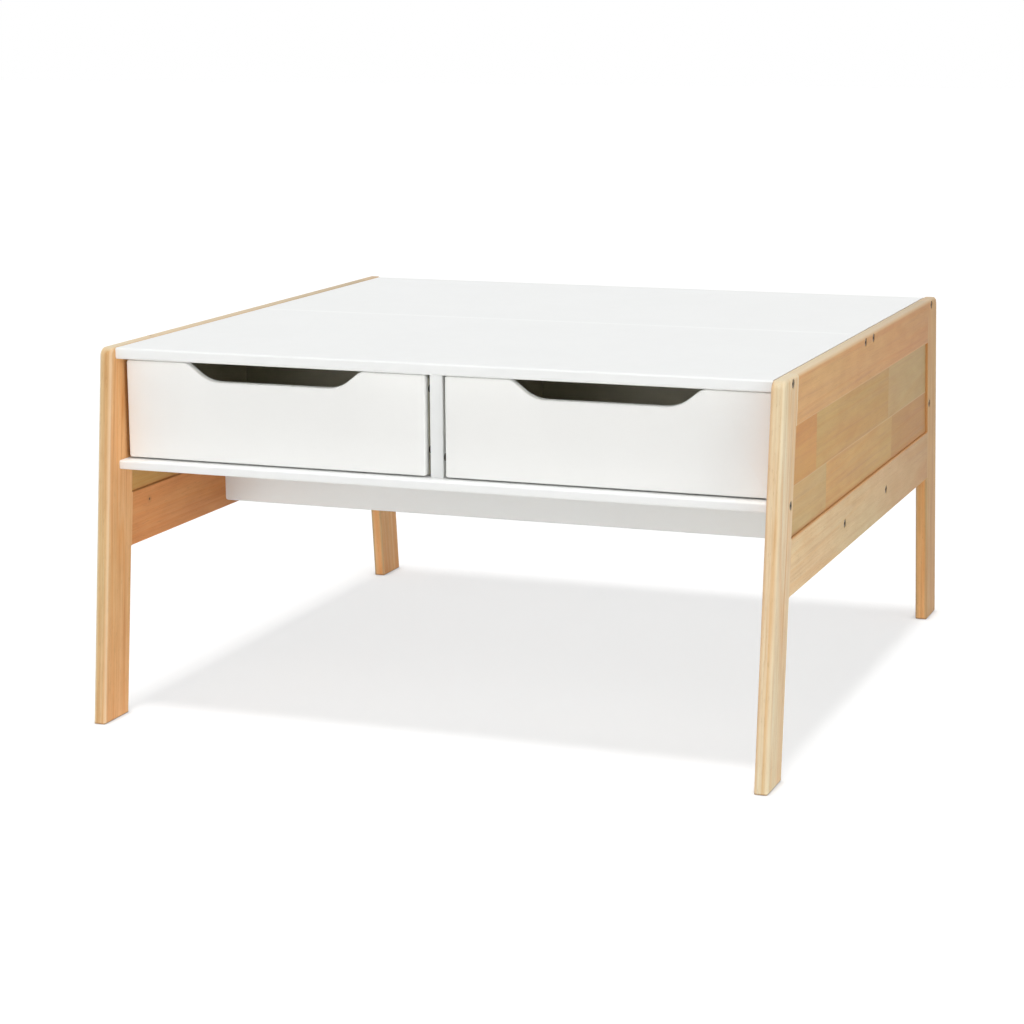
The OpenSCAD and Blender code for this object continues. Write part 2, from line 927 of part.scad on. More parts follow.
module barrel_nuts(side) {
    color(zinc)
        on_side(side)
            for (end = ENDS)
                on_end(end)
                    for (place = all_bolts)
                        translate([barrel_x, place[0], place[1]])
                            rotate([place == lower_rail_bolt ? 90 : 0, 0, 0])
                                barrel_nut(barrel_length);
}

module frame_dowels(side) {
    color(pale_wood)
        on_side(side)
            for (end = ENDS)
                on_end(end)
                    for (z = concat(top_dowels, lower_dowels))
                        frame_dowel(z, 0);
}

module stretcher_dowels() {
    color(pale_wood)
        for (side = SIDES)
            stretcher_dowels_at(side, 0);
}

module divider_bolts() {
    color(dark_metal)
        for (end = ENDS)
            translate([0, end * divider_bolt_y, shelf_rise + counterbore_depth])
                rotate([0, 90, 0])
                    bolt(divider_bolt_length);
}

module divider_barrel_nuts() {
    color(dark_metal)
        for (end = ENDS)
            translate([0, end * divider_bolt_y, divider_barrel_height])
                rotate([0, 90, 0])
                    barrel_nut(divider_thickness - 2 * bolt_sink);
}

module divider_dowels() {
    color(pale_wood)
        for (end = ENDS)
            on_end(end)
                for (y = divider_dowel_ys)
                    divider_dowel(y, 0);
}

// ---------------------------------------------------------------- nodes

leg(LEFT, FRONT);  // left_front_leg
leg(LEFT, REAR);  // left_rear_leg
top_rail(LEFT);  // left_top_rail
lower_rail(LEFT);  // left_lower_rail
side_panel(LEFT);  // left_side_panel
leg(RIGHT, FRONT);  // right_front_leg
leg(RIGHT, REAR);  // right_rear_leg
top_rail(RIGHT);  // right_top_rail
lower_rail(RIGHT);  // right_lower_rail
side_panel(RIGHT);  // right_side_panel
top_board(FRONT);  // front_top_board
top_board(REAR);  // rear_top_board
shelf();
centre_divider();
stretcher(FRONT);  // front_stretcher
stretcher(REAR);  // rear_stretcher
drawer_front(LEFT);  // left_drawer_front
drawer_side(LEFT, LEFT);  // left_drawer_left_side
drawer_side(LEFT, RIGHT);  // left_drawer_right_side
drawer_back(LEFT);  // left_drawer_back
drawer_bottom(LEFT);  // left_drawer_bottom
drawer_glides(LEFT);  // left_drawer_glides
drawer_cam_locks(LEFT);  // left_drawer_cam_locks
drawer_cam_posts(LEFT);  // left_drawer_cam_posts
drawer_screws(LEFT);  // left_drawer_screws
drawer_front(RIGHT);  // right_drawer_front
drawer_side(RIGHT, LEFT);  // right_drawer_left_side
drawer_side(RIGHT, RIGHT);  // right_drawer_right_side
drawer_back(RIGHT);  // right_drawer_back
drawer_bottom(RIGHT);  // right_drawer_bottom
drawer_glides(RIGHT);  // right_drawer_glides
drawer_cam_locks(RIGHT);  // right_drawer_cam_locks
drawer_cam_posts(RIGHT);  // right_drawer_cam_posts
drawer_screws(RIGHT);  // right_drawer_screws
drawer_stop(LEFT);  // left_drawer_stop
drawer_stop(RIGHT);  // right_drawer_stop
frame_bolts(LEFT);  // left_frame_bolts
frame_bolts(RIGHT);  // right_frame_bolts
barrel_nuts(LEFT);  // left_barrel_nuts
barrel_nuts(RIGHT);  // right_barrel_nuts
frame_dowels(LEFT);  // left_frame_dowels
frame_dowels(RIGHT);  // right_frame_dowels
stretcher_dowels();
divider_bolts();
divider_barrel_nuts();
divider_dowels();
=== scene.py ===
"""Looks of the kids table with storage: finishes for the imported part, light, floor and camera."""

import math

import bpy
from mathutils import Matrix, Vector


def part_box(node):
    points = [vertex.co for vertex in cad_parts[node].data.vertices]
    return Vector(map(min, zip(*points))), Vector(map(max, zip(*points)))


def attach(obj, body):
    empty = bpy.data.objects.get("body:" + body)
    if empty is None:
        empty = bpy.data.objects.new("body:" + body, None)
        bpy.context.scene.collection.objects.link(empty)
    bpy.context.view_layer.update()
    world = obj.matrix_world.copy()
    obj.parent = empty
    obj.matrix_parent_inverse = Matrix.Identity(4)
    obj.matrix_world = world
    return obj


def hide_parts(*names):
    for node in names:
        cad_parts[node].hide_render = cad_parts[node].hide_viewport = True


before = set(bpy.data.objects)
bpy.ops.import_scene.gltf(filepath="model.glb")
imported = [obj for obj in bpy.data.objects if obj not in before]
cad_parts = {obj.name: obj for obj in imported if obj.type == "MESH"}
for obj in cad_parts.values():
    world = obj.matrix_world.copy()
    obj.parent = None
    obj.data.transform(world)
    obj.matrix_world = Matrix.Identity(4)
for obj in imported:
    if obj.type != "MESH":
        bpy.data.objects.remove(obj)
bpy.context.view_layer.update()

bl_info = {
    "name": "Kids Table with Storage",
    "version": (1, 0, 0),
    "blender": (4, 5, 0),
    "location": "3D View > Sidebar > Play Table",
    "description": "Finishes a low play table with leaning wooden side frames, white boards and two drawers",
    "category": "Object",
}

SIDES = ("left", "right")
ENDS = ("front", "rear")

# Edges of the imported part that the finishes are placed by, in metres
PANEL_LOW, PANEL_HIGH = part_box("right_side_panel")
LEG_LOW, LEG_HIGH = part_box("right_front_leg")
LOWER_RAIL_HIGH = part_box("right_lower_rail")[1]
TOP_RAIL_LOW, TOP_RAIL_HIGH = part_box("right_top_rail")
FRAME_MIDDLE = (LEG_LOW.x + LEG_HIGH.x) / 2
FRAME_HALF = (LEG_HIGH.x - LEG_LOW.x) / 2
# How far the panels' tongue reaches into the frames, and where the frames' openings lie
TONGUE = 0.006
OPENING_MIDDLE = (LOWER_RAIL_HIGH.z + TOP_RAIL_LOW.z) / 2
OPENING_HALF = (TOP_RAIL_LOW.z - LOWER_RAIL_HIGH.z) / 2

# Sockets of a Mix node, which holds one set for each kind of data, all with the same names
MIX_VALUE_A, MIX_VALUE_B, MIX_VALUE_RESULT = 2, 3, 0
MIX_COLOUR_A, MIX_COLOUR_B, MIX_COLOUR_RESULT = 6, 7, 2
# Range in which most of a noise pattern lies
NOISE_RANGE = (0.3, 0.7)
WHITE = (1.0, 1.0, 1.0)


# ---------------------------------------------------------------- node helpers


class Recipe:
    """A new material whose nodes are added one after another."""

    def __init__(self, name):
        self.material = bpy.data.materials.new(name)
        self.material.use_nodes = True
        self.tree = self.material.node_tree
        self.tree.nodes.clear()
        self.output = self.tree.nodes.new("ShaderNodeOutputMaterial")
        self.shader = self.tree.nodes.new("ShaderNodeBsdfPrincipled")
        self.tree.links.new(self.shader.outputs[0], self.output.inputs[0])
        self.place = self.tree.nodes.new("ShaderNodeTexCoord").outputs["Object"]

    def set(self, socket, value):
        """Gives a socket a value, or links it where the value is another node's output."""
        if isinstance(value, bpy.types.NodeSocket):
            self.tree.links.new(value, socket)
        elif socket.type == "RGBA":
            socket.default_value = (*value[:3], 1.0)
        else:
            socket.default_value = value

    def mapped(self, source, scale=(1, 1, 1), move=(0, 0, 0), turn=(0, 0, 0)):
        node = self.tree.nodes.new("ShaderNodeMapping")
        node.inputs["Scale"].default_value = scale
        node.inputs["Location"].default_value = move
        node.inputs["Rotation"].default_value = turn
        self.tree.links.new(source, node.inputs["Vector"])
        return node.outputs["Vector"]

    def noise(self, place, detail, roughness, scale=1.0, distortion=0.0):
        node = self.tree.nodes.new("ShaderNodeTexNoise")
        self.tree.links.new(place, node.inputs["Vector"])
        node.inputs["Scale"].default_value = scale
        node.inputs["Detail"].default_value = detail
        node.inputs["Roughness"].default_value = roughness
        node.inputs["Distortion"].default_value = distortion
        return node.outputs["Fac"]

    def math(self, operation, a, b=0.0):
        node = self.tree.nodes.new("ShaderNodeMath")
        node.operation = operation
        for socket, value in zip(node.inputs, (a, b)):
            self.set(socket, value)
        return node.outputs[0]

    def ramp(self, factor, stops, steps=False):
        """Colour ramp from (position, colour) pairs, where a plain number is a grey."""
        node = self.tree.nodes.new("ShaderNodeValToRGB")
        if steps:
            node.color_ramp.interpolation = "CONSTANT"
        elements = node.color_ramp.elements
        while len(elements) < len(stops):
            elements.new(0.5)
        for element, (position, colour) in zip(elements, stops):
            element.position = position
            if isinstance(colour, (int, float)):
                colour = (colour, colour, colour)
            element.color = (*colour[:3], 1.0)
        self.tree.links.new(factor, node.inputs["Fac"])
        return node.outputs["Color"]

    def mix(self, factor, a, b, blend="MIX"):
        node = self.tree.nodes.new("ShaderNodeMix")
        node.data_type = "RGBA"
        node.blend_type = blend
        self.set(node.inputs["Factor"], factor)
        self.set(node.inputs[MIX_COLOUR_A], a)
        self.set(node.inputs[MIX_COLOUR_B], b)
        return node.outputs[MIX_COLOUR_RESULT]

    def tint(self, colour, tint):
        """Multiplies a colour by another one."""
        return self.mix(1.0, colour, tint, "MULTIPLY")

    def split(self, source):
        node = self.tree.nodes.new("ShaderNodeSeparateXYZ")
        self.tree.links.new(source, node.inputs[0])
        return node.outputs

    def join(self, x, y, z):
        node = self.tree.nodes.new("ShaderNodeCombineXYZ")
        for socket, value in zip(node.inputs, (x, y, z)):
            self.set(socket, value)
        return node.outputs[0]

    def bump(self, height, strength, distance):
        node = self.tree.nodes.new("ShaderNodeBump")
        node.inputs["Strength"].default_value = strength
        node.inputs["Distance"].default_value = distance
        self.tree.links.new(height, node.inputs["Height"])
        return node.outputs["Normal"]

    def spread(self, factor, low, high, from_low=0.0, from_high=1.0):
        """Maps a value between two limits to run from low to high."""
        node = self.tree.nodes.new("ShaderNodeMapRange")
        self.tree.links.new(factor, node.inputs["Value"])
        node.inputs["From Min"].default_value = from_low
        node.inputs["From Max"].default_value = from_high
        node.inputs["To Min"].default_value = low
        node.inputs["To Max"].default_value = high
        return node.outputs["Result"]

    def fade(self, distance, strength, full, end):
        """A mark's strength: whole up to one distance from it, and gone at the other."""
        return self.spread(distance, strength, 0.0, full, end)


# ---------------------------------------------------------------- wood

# Patterns of the wood, in waves per metre: across the fibres twice, then along them
RING_WAVES = (17, 17, 0.75)
STREAK_WAVES = (190, 190, 3.2)
FIBRE_WAVES = (900, 900, 22)
PORE_WAVES = (1500, 1500, 90)
DRIFT_WAVES = (6, 6, 2.2)
MOTTLE_WAVES = (45, 45, 16)
# Moves that keep patterns of the same kind from lying on one another
PORE_MOVE = (3.1, 7.7, 0.4)
DRIFT_MOVE = (1.3, 0.2, 4.0)
MOTTLE_MOVE = (0.7, 2.9, 1.1)
# How dark the wood is from one growth ring to the next
RING_PROFILE = ((0.0, 0.0), (0.5, 0.1), (0.85, 1.0), (0.98, 0.0))
# By what share streaks change red, green and blue at full contrast, from the darkest to the palest
STREAK_CHANGES = (
    (0.28, (-0.20, -0.36, -0.50)),
    (0.43, (-0.04, -0.09, -0.15)),
    (0.52, (0.0, 0.0, 0.0)),
    (0.68, (0.03, 0.09, 0.20)),
)
DRIFT_TINTS = ((0.36, (1.02, 0.95, 0.91)), (0.64, (0.98, 1.02, 1.0)))
MOTTLE_TINTS = ((0.34, (0.96, 0.93, 0.90)), (0.66, (1.03, 1.05, 1.07)))
# Where the dark pores begin and end in their pattern
PORE_RANGE = (0.66, 0.74)
# Height of the fibres beside the depth of the pores
FIBRE_RELIEF = 0.6
# How much smoother and rougher than its middle value the lacquer gets
WOOD_SMOOTHER = 0.05
WOOD_ROUGHER = 0.07
RELIEF_DISTANCE = 0.0002
LACQUER_RELIEF = 0.22
LACQUER_ROUGHNESS = 0.22
PLAIN_RELIEF = 0.4
PLAIN_ROUGHNESS = 0.72

# Painted highlight of rounded edges, as shares of their width: where it is full, and where the flat faces
# begin
FULL_EDGE_SHARE = 1 / 4
FLAT_FACE = 1 / 12
# Marks on the wood, painted shade and painted highlight among them: up to which distance they are whole and
# at which they end, in metres
RECESS_SHADE_ON_LEG = (0.001, 0.0035)
RECESS_SHADE_ON_PANEL = (0.001, 0.006)
RECESS_SHADE_ON_RAIL = 0.002
RAIL_EDGE_HIGHLIGHT_REACH = (0.0005, 0.002)
GLUE_LINE = (0.0003, 0.0010)
# The same for the ring and the core of a pin knot, in radii, after their strength
KNOT_RING = (0.45, 1.0, 4.0)
KNOT_CORE = (0.9, 0.6, 1.2)
# Pin knots of the left frame: on the lower rail's inner face and on the top rail's upper edge
LOWER_KNOT = (-LEG_LOW.x, -0.357, 0.281)
LOWER_KNOT_RADIUS = 0.0019
TOP_KNOT = (-FRAME_MIDDLE, -0.322, TOP_RAIL_HIGH.z)
TOP_KNOT_RADIUS = 0.0016

# Shifts along the fibres, in metres, which cut each piece from its own place in the tree
LEG_SIDE_SHIFT = 1.50
LEG_END_SHIFT = 0.40
TOP_RAIL_SHIFT = 2.31
LEFT_RAIL_SHIFT = 1.9
STAVE_SHIFT = 9.0
# Shares of the staves' shift by which one block follows another, and one row the other
BLOCK_STEP = 0.3
ROW_STEP = 0.1


def grain(recipe, along, tone, contrast, settings):
    """Colour, roughness and relief of lacquered wood whose fibres run along the given place's Z axis."""
    # Growth rings cut at a slant, which show as long arches
    field = recipe.noise(recipe.mapped(along, RING_WAVES), detail=1.0, roughness=0.4, distortion=0.25)
    ring = recipe.math("FRACT", recipe.math("MULTIPLY", field, settings.ring_count))
    late_wood = recipe.ramp(ring, RING_PROFILE)
    # Streaks a few millimetres wide and a hand long, fibres, and the short dark pores between them
    streak = recipe.noise(recipe.mapped(along, STREAK_WAVES), detail=4.0, roughness=0.6, distortion=0.3)
    fibre = recipe.noise(recipe.mapped(along, FIBRE_WAVES), detail=3.0, roughness=0.6)
    pore = recipe.noise(recipe.mapped(along, PORE_WAVES, PORE_MOVE), detail=1.0, roughness=0.4)
    pore = recipe.spread(pore, 0.0, 1.0, *PORE_RANGE)
    # Slow drift between a pinkish and a yellow tone, and mottles a few centimetres wide
    drift = recipe.noise(recipe.mapped(along, DRIFT_WAVES, DRIFT_MOVE), detail=2.0, roughness=0.5)
    mottle = recipe.noise(recipe.mapped(along, MOTTLE_WAVES, MOTTLE_MOVE), detail=3.0, roughness=0.55)

    stops = [(at, [1 + change * contrast for change in changes]) for at, changes in STREAK_CHANGES]
    colour = recipe.tint(tone, recipe.ramp(streak, stops))
    colour = recipe.tint(colour, recipe.ramp(drift, DRIFT_TINTS))
    colour = recipe.tint(colour, recipe.ramp(mottle, MOTTLE_TINTS))
    arches = recipe.math("MULTIPLY", late_wood, settings.ring_depth * contrast)
    colour = recipe.mix(arches, colour, recipe.tint(colour, settings.late_wood_tint))
    fine = recipe.spread(fibre, 1.0 - settings.fibre_contrast, 1.0 + settings.fibre_contrast, *NOISE_RANGE)
    colour = recipe.tint(colour, recipe.join(fine, fine, fine))
    colour = recipe.mix(recipe.math("MULTIPLY", pore, settings.pore_depth), colour, settings.pore_and_foot_shade_colour)

    relief = recipe.math("SUBTRACT", recipe.math("MULTIPLY", fibre, FIBRE_RELIEF), pore)
    smooth = settings.roughness - WOOD_SMOOTHER
    rough = settings.roughness + WOOD_ROUGHER
    return colour, recipe.spread(streak, smooth, rough, *NOISE_RANGE), relief


def finish_wood(recipe, colour, roughness, relief, settings):
    """Puts clear satin lacquer over the wood."""
    recipe.set(recipe.shader.inputs["Base Color"], colour)
    recipe.set(recipe.shader.inputs["Roughness"], roughness)
    recipe.set(recipe.shader.inputs["Normal"], recipe.bump(relief, LACQUER_RELIEF, RELIEF_DISTANCE))
    recipe.shader.inputs["Specular IOR Level"].default_value = settings.gloss
    recipe.shader.inputs["Coat Weight"].default_value = settings.lacquer
    recipe.shader.inputs["Coat Roughness"].default_value = LACQUER_ROUGHNESS
    return recipe.material


def from_frame_middle(recipe, x):
    """Distance from the middle of a side frame's thickness."""
    return recipe.math("ABSOLUTE", recipe.math("SUBTRACT", recipe.math("ABSOLUTE", x), FRAME_MIDDLE))


def edge_highlight_share(recipe, x, settings):
    """How strongly the painted highlight shows: not between a frame's rounded edges, and fully near its two
    faces.
    """
    start = FRAME_HALF - settings.edge_width
    end = FRAME_HALF - settings.edge_width * FULL_EDGE_SHARE
    return recipe.spread(from_frame_middle(recipe, x), 0.0, settings.edge_highlight, start, end)


def paint_edge_and_top_light(recipe, colour, x, y, z, settings):
    """Painted highlight on the rounded long edges and painted light on the tops of the frames, both drawn
    pale, and darker towards the rear in painted shade.
    """
    # The flat faces themselves keep their colour
    face = FRAME_HALF - settings.edge_width * FLAT_FACE
    on_edge = recipe.math("LESS_THAN", from_frame_middle(recipe, x), face)
    edge = recipe.math("MULTIPLY", edge_highlight_share(recipe, x, settings), on_edge)
    top = recipe.spread(z, 0.0, settings.top_painted_light, LEG_HIGH.z - settings.edge_width, LEG_HIGH.z)
    pale = recipe.tint(settings.pale_glue_and_highlight_colour, painted_shade_to_rear(recipe, y, settings.rear_painted_shade))
    return recipe.mix(recipe.math("MAXIMUM", edge, top), colour, pale)


def pin_knot(recipe, colour, centre, radius, settings):
    """A dark pin knot with a soft ring round it, at a point of the wood."""
    gap = recipe.tree.nodes.new("ShaderNodeVectorMath")
    gap.operation = "DISTANCE"
    recipe.set(gap.inputs[0], recipe.place)
    gap.inputs[1].default_value = centre
    parts = ((KNOT_RING, settings.knot_ring_colour), (KNOT_CORE, settings.knot_colour))
    for (strength, full, end), tone in parts:
        share = recipe.fade(gap.outputs["Value"], strength, full * radius, end * radius)
        colour = recipe.mix(share, colour, tone)
    return colour


def leg_tone(recipe, x, y, settings):
    """Each leg has its own tone, and so have the outer and inner faces, cut from other parts of the tree; the
    inner faces are also drawn more orange in painted shade, and the rear left leg's front paler in painted
    light.
    """
    right = recipe.math("GREATER_THAN", x, 0.0)
    rear = recipe.math("GREATER_THAN", y, 0.0)
    across = recipe.math("ABSOLUTE", x)
    front_tone = recipe.mix(right, settings.front_left_tone, settings.front_right_tone)
    rear_tone = recipe.mix(right, settings.rear_left_lit_tone, settings.rear_right_tone)
    face = recipe.mix(rear, front_tone, rear_tone)
    outer = recipe.mix(rear, settings.front_outer_tone, settings.rear_outer_tone)
    soft = settings.edge_width
    to_outer = recipe.spread(across, 0.0, 1.0, LEG_HIGH.x - soft, LEG_HIGH.x - soft * FULL_EDGE_SHARE)
    to_inner = recipe.spread(across, 1.0, 0.0, LEG_LOW.x + soft * FULL_EDGE_SHARE, LEG_LOW.x + soft)
    return recipe.mix(to_inner, recipe.mix(to_outer, face, outer), settings.inner_shaded_tone)


def leg_wood(settings):
    """Fibres follow the lean of the legs, and each leg is cut from another place of the tree."""
    recipe = Recipe("leg_wood")
    x, y, z = recipe.split(recipe.place)
    side_shift = recipe.math("MULTIPLY", recipe.math("SIGN", x), LEG_SIDE_SHIFT)
    end_shift = recipe.math("MULTIPLY", recipe.math("SIGN", y), LEG_END_SHIFT)
    shift = recipe.math("ADD", side_shift, end_shift)
    place = recipe.join(x, recipe.math("ABSOLUTE", y), recipe.math("ADD", z, shift))
    along = recipe.mapped(place, turn=(-math.atan(settings.lean), 0, 0))
    tone = leg_tone(recipe, x, y, settings)
    colour, roughness, relief = grain(recipe, along, tone, settings.leg_contrast, settings)
    colour = paint_edge_and_top_light(recipe, colour, x, y, z, settings)
    # Painted highlight: the edges away from the panel are rounded off more, and drawn pale over a band of the
    # side faces
    line = recipe.math("SUBTRACT", -LEG_LOW.y, recipe.math("MULTIPLY", z, settings.lean))
    from_line = recipe.math("SUBTRACT", line, recipe.math("ABSOLUTE", y))
    band = recipe.fade(from_line, 1.0, 0.0, settings.highlight_band_width)
    band = recipe.math("MULTIPLY", band, edge_highlight_share(recipe, x, settings))
    colour = recipe.mix(band, colour, settings.pale_glue_and_highlight_colour)
    # Painted shade in the recess: the edges towards the panel are drawn dark orange
    from_end = recipe.math("SUBTRACT", recipe.math("ABSOLUTE", y), opening_end(recipe, z, settings))
    recess_shade = recipe.fade(from_end, settings.recess_shade_depth, *RECESS_SHADE_ON_LEG)
    from_height = recipe.math("ABSOLUTE", recipe.math("SUBTRACT", z, OPENING_MIDDLE))
    beside = recipe.math("LESS_THAN", from_height, OPENING_HALF)
    colour = recipe.mix(recipe.math("MULTIPLY", recess_shade, beside), colour, settings.recess_shade_colour)
    # Painted shade: the bottom of each leg, at the floor, is drawn dark
    foot_shade = recipe.fade(z, settings.foot_painted_shade, settings.foot_shade_height / 2, settings.foot_shade_height)
    colour = recipe.mix(foot_shade, colour, settings.pore_and_foot_shade_colour)
    return finish_wood(recipe, colour, roughness, relief, settings)


def lying_place(recipe, x, y, z, shift):
    """A place whose Z axis runs from front to rear, so that fibres run along a rail or stave."""
    return recipe.join(x, recipe.math("ADD", z, shift), recipe.math("ADD", y, shift))


def painted_shade_to_rear(recipe, y, shade):
    """Painted shade: white at the front, turning to a darker tint at the rear, where less light reaches."""
    to_rear = recipe.spread(y, 0.0, 1.0, LEG_LOW.y, -LEG_LOW.y)
    return recipe.mix(to_rear, WHITE, shade)


def opening_end(recipe, z, settings):
    """How far from the middle the slanted ends of a frame's opening lie, at a height."""
    rise = recipe.math("SUBTRACT", z, PANEL_LOW.z)
    return recipe.math("SUBTRACT", PANEL_HIGH.y - TONGUE, recipe.math("MULTIPLY", rise, settings.lean))


def rail_wood(settings):
    """Wood along the rails; the left lower rail is drawn darker and more orange in painted shade under the
    table, and both left rails have a pin knot.
    """
    recipe = Recipe("rail_wood")
    x, y, z = recipe.split(recipe.place)
    left = recipe.math("LESS_THAN", x, 0.0)
    upper = recipe.math("GREATER_THAN", z, OPENING_MIDDLE)
    height_shift = recipe.math("MULTIPLY", upper, TOP_RAIL_SHIFT)
    side_shift = recipe.math("MULTIPLY", left, LEFT_RAIL_SHIFT)
    place = lying_place(recipe, x, y, z, recipe.math("ADD", height_shift, side_shift))
    # Painted shade: the left lower rail, under the table, is drawn darker and more orange
    lower_tone = recipe.mix(left, settings.lower_rail_tone, settings.left_lower_rail_shaded_tone)
    tone = recipe.mix(upper, lower_tone, settings.top_rail_tone)
    # Painted shade: the rails are drawn darker towards the rear, where less light reaches them
    shade = recipe.mix(upper, settings.lower_rail_painted_shade, settings.rear_painted_shade)
    tone = recipe.tint(tone, painted_shade_to_rear(recipe, y, shade))
    colour, roughness, relief = grain(recipe, place, tone, settings.board_contrast, settings)
    colour = paint_edge_and_top_light(recipe, colour, x, y, z, settings)
    # Painted shade along the groove over the lower rail
    below = recipe.math("SUBTRACT", LOWER_RAIL_HIGH.z, z)
    recess_shade = recipe.fade(below, settings.recess_shade_depth, 0.0, RECESS_SHADE_ON_RAIL)
    recess_shade = recipe.math("MULTIPLY", recess_shade, recipe.math("LESS_THAN", z, OPENING_MIDDLE))
    colour = recipe.mix(recess_shade, colour, settings.recess_shade_colour)
    # Painted highlight: the rounded lower edge of the top rail is drawn paler
    above = recipe.math("SUBTRACT", z, TOP_RAIL_LOW.z)
    highlighted = recipe.fade(above, settings.glue_line_and_rail_highlight, *RAIL_EDGE_HIGHLIGHT_REACH)
    highlighted = recipe.math("MULTIPLY", highlighted, recipe.math("GREATER_THAN", above, 0.0))
    colour = recipe.mix(recipe.math("MULTIPLY", highlighted, upper), colour, settings.pale_glue_and_highlight_colour)
    colour = pin_knot(recipe, colour, LOWER_KNOT, LOWER_KNOT_RADIUS, settings)
    colour = pin_knot(recipe, colour, TOP_KNOT, TOP_KNOT_RADIUS, settings)
    return finish_wood(recipe, colour, roughness, relief, settings)


def stave_rows(settings):
    """The two rows of staves, from the front: each block's first Y, None at the panel's end, and its tone."""
    upper = ((None, settings.orange_tone), (-0.276, settings.olive_tone), (0.135, settings.green_tone))
    lower = ((None, settings.green_tone), (-0.222, settings.tan_tone), (0.16, settings.rosy_tone))
    return upper, lower


def panel_wood(settings):
    """Edge-glued staves: two rows, each of blocks with their own tone and fibres, and a pale glue line."""
    recipe = Recipe("panel_wood")
    x, y, z = recipe.split(recipe.place)
    # The left-hand panel is the right-hand one turned round, so its staves lie the other way
    run = recipe.math("MULTIPLY", y, recipe.math("SIGN", x))
    length = PANEL_HIGH.y - PANEL_LOW.y
    share = recipe.math("ADD", recipe.math("DIVIDE", run, length), 0.5)
    in_upper = recipe.math("GREATER_THAN", z, settings.row_joint)

    rows = []
    for number, row in enumerate(stave_rows(settings)):
        starts = [0.0 if start is None else start / length + 0.5 for start, _ in row]
        tones = recipe.ramp(share, [(start, tone) for start, (_, tone) in zip(starts, row)], steps=True)
        places = [(start, BLOCK_STEP * i + ROW_STEP * number) for i, start in enumerate(starts)]
        trees = recipe.ramp(share, places, steps=True)
        rows.append((tones, trees))
    (upper_tone, upper_tree), (lower_tone, lower_tree) = rows
    tone = recipe.mix(in_upper, lower_tone, upper_tone)
    # Painted shade: the staves are drawn darker towards the rear, where less light reaches them
    tone = recipe.tint(tone, painted_shade_to_rear(recipe, y, settings.rear_painted_shade))
    shift = recipe.math("MULTIPLY", recipe.mix(in_upper, lower_tree, upper_tree), STAVE_SHIFT)
    place = lying_place(recipe, x, run, z, shift)
    colour, roughness, relief = grain(recipe, place, tone, settings.board_contrast, settings)

    from_joint = recipe.math("ABSOLUTE", recipe.math("SUBTRACT", z, settings.row_joint))
    glue = recipe.fade(from_joint, settings.glue_line_and_rail_highlight, *GLUE_LINE)
    colour = recipe.mix(glue, colour, settings.pale_glue_and_highlight_colour)
    # Painted shade along the groove, at the bottom and at the slanted ends
    to_low = recipe.math("SUBTRACT", z, LOWER_RAIL_HIGH.z)
    to_end = recipe.math("SUBTRACT", opening_end(recipe, z, settings), recipe.math("ABSOLUTE", y))
    recess_shade = recipe.fade(recipe.math("MINIMUM", to_low, to_end), settings.recess_shade_depth, *RECESS_SHADE_ON_PANEL)
    colour = recipe.mix(recess_shade, colour, settings.recess_shade_colour)
    return finish_wood(recipe, colour, roughness, relief, settings)


def plain_wood(settings):
    """Unfinished wood of dowels and stop blocks, without lacquer."""
    recipe = Recipe("plain_wood")
    tone = settings.front_left_tone
    colour, _, relief = grain(recipe, recipe.place, tone, settings.board_contrast, settings)
    recipe.set(recipe.shader.inputs["Base Color"], colour)
    recipe.set(recipe.shader.inputs["Normal"], recipe.bump(relief, PLAIN_RELIEF, RELIEF_DISTANCE))
    recipe.shader.inputs["Roughness"].default_value = PLAIN_ROUGHNESS
    return recipe.material


# ---------------------------------------------------------------- paint, metal and nylon

# How much smoother and rougher than its middle value the paint gets, and how far its gloss pattern is moved
PAINT_SMOOTHER = 0.05
PAINT_ROUGHER = 0.06
HAZE_MOVE = (2.0, 5.0, 1.0)
PAINT_SPECULAR = 0.45
PEEL_DISTANCE = 0.0001
# How far from the tabletop's seam its sheen is whole and where it ends, in metres
SEAM_REACH = (0.001, 0.007)
# Rings of scratches from the lathe, in waves per metre, and the range of them that shows
SCRATCH_WAVES = (260, 3000, 3000)
SCRATCH_RANGE = (0.45, 0.75)
SCRATCH_SHARE = 0.5
SCRATCH_DISTANCE = 0.00005
# A scratch is this many times as light as the metal, and this much lighter still
SCRATCH_GAIN = 1.6
SCRATCH_LIFT = 0.03
# How much smoother and rougher than its middle value the metal gets
METAL_SMOOTHER = 0.08
METAL_ROUGHER = 0.12
# Rub marks along the way that a drawer runs, in waves per metre
RUB_WAVES = (1800, 30, 1800)
RUB_ROUGHNESS = (0.38, 0.55)
RUB_RELIEF = 0.15
RUB_DISTANCE = 0.0001
NYLON_DULL = 0.94
NYLON_GLOW = 0.1
NYLON_GLOW_DEPTH = 0.002


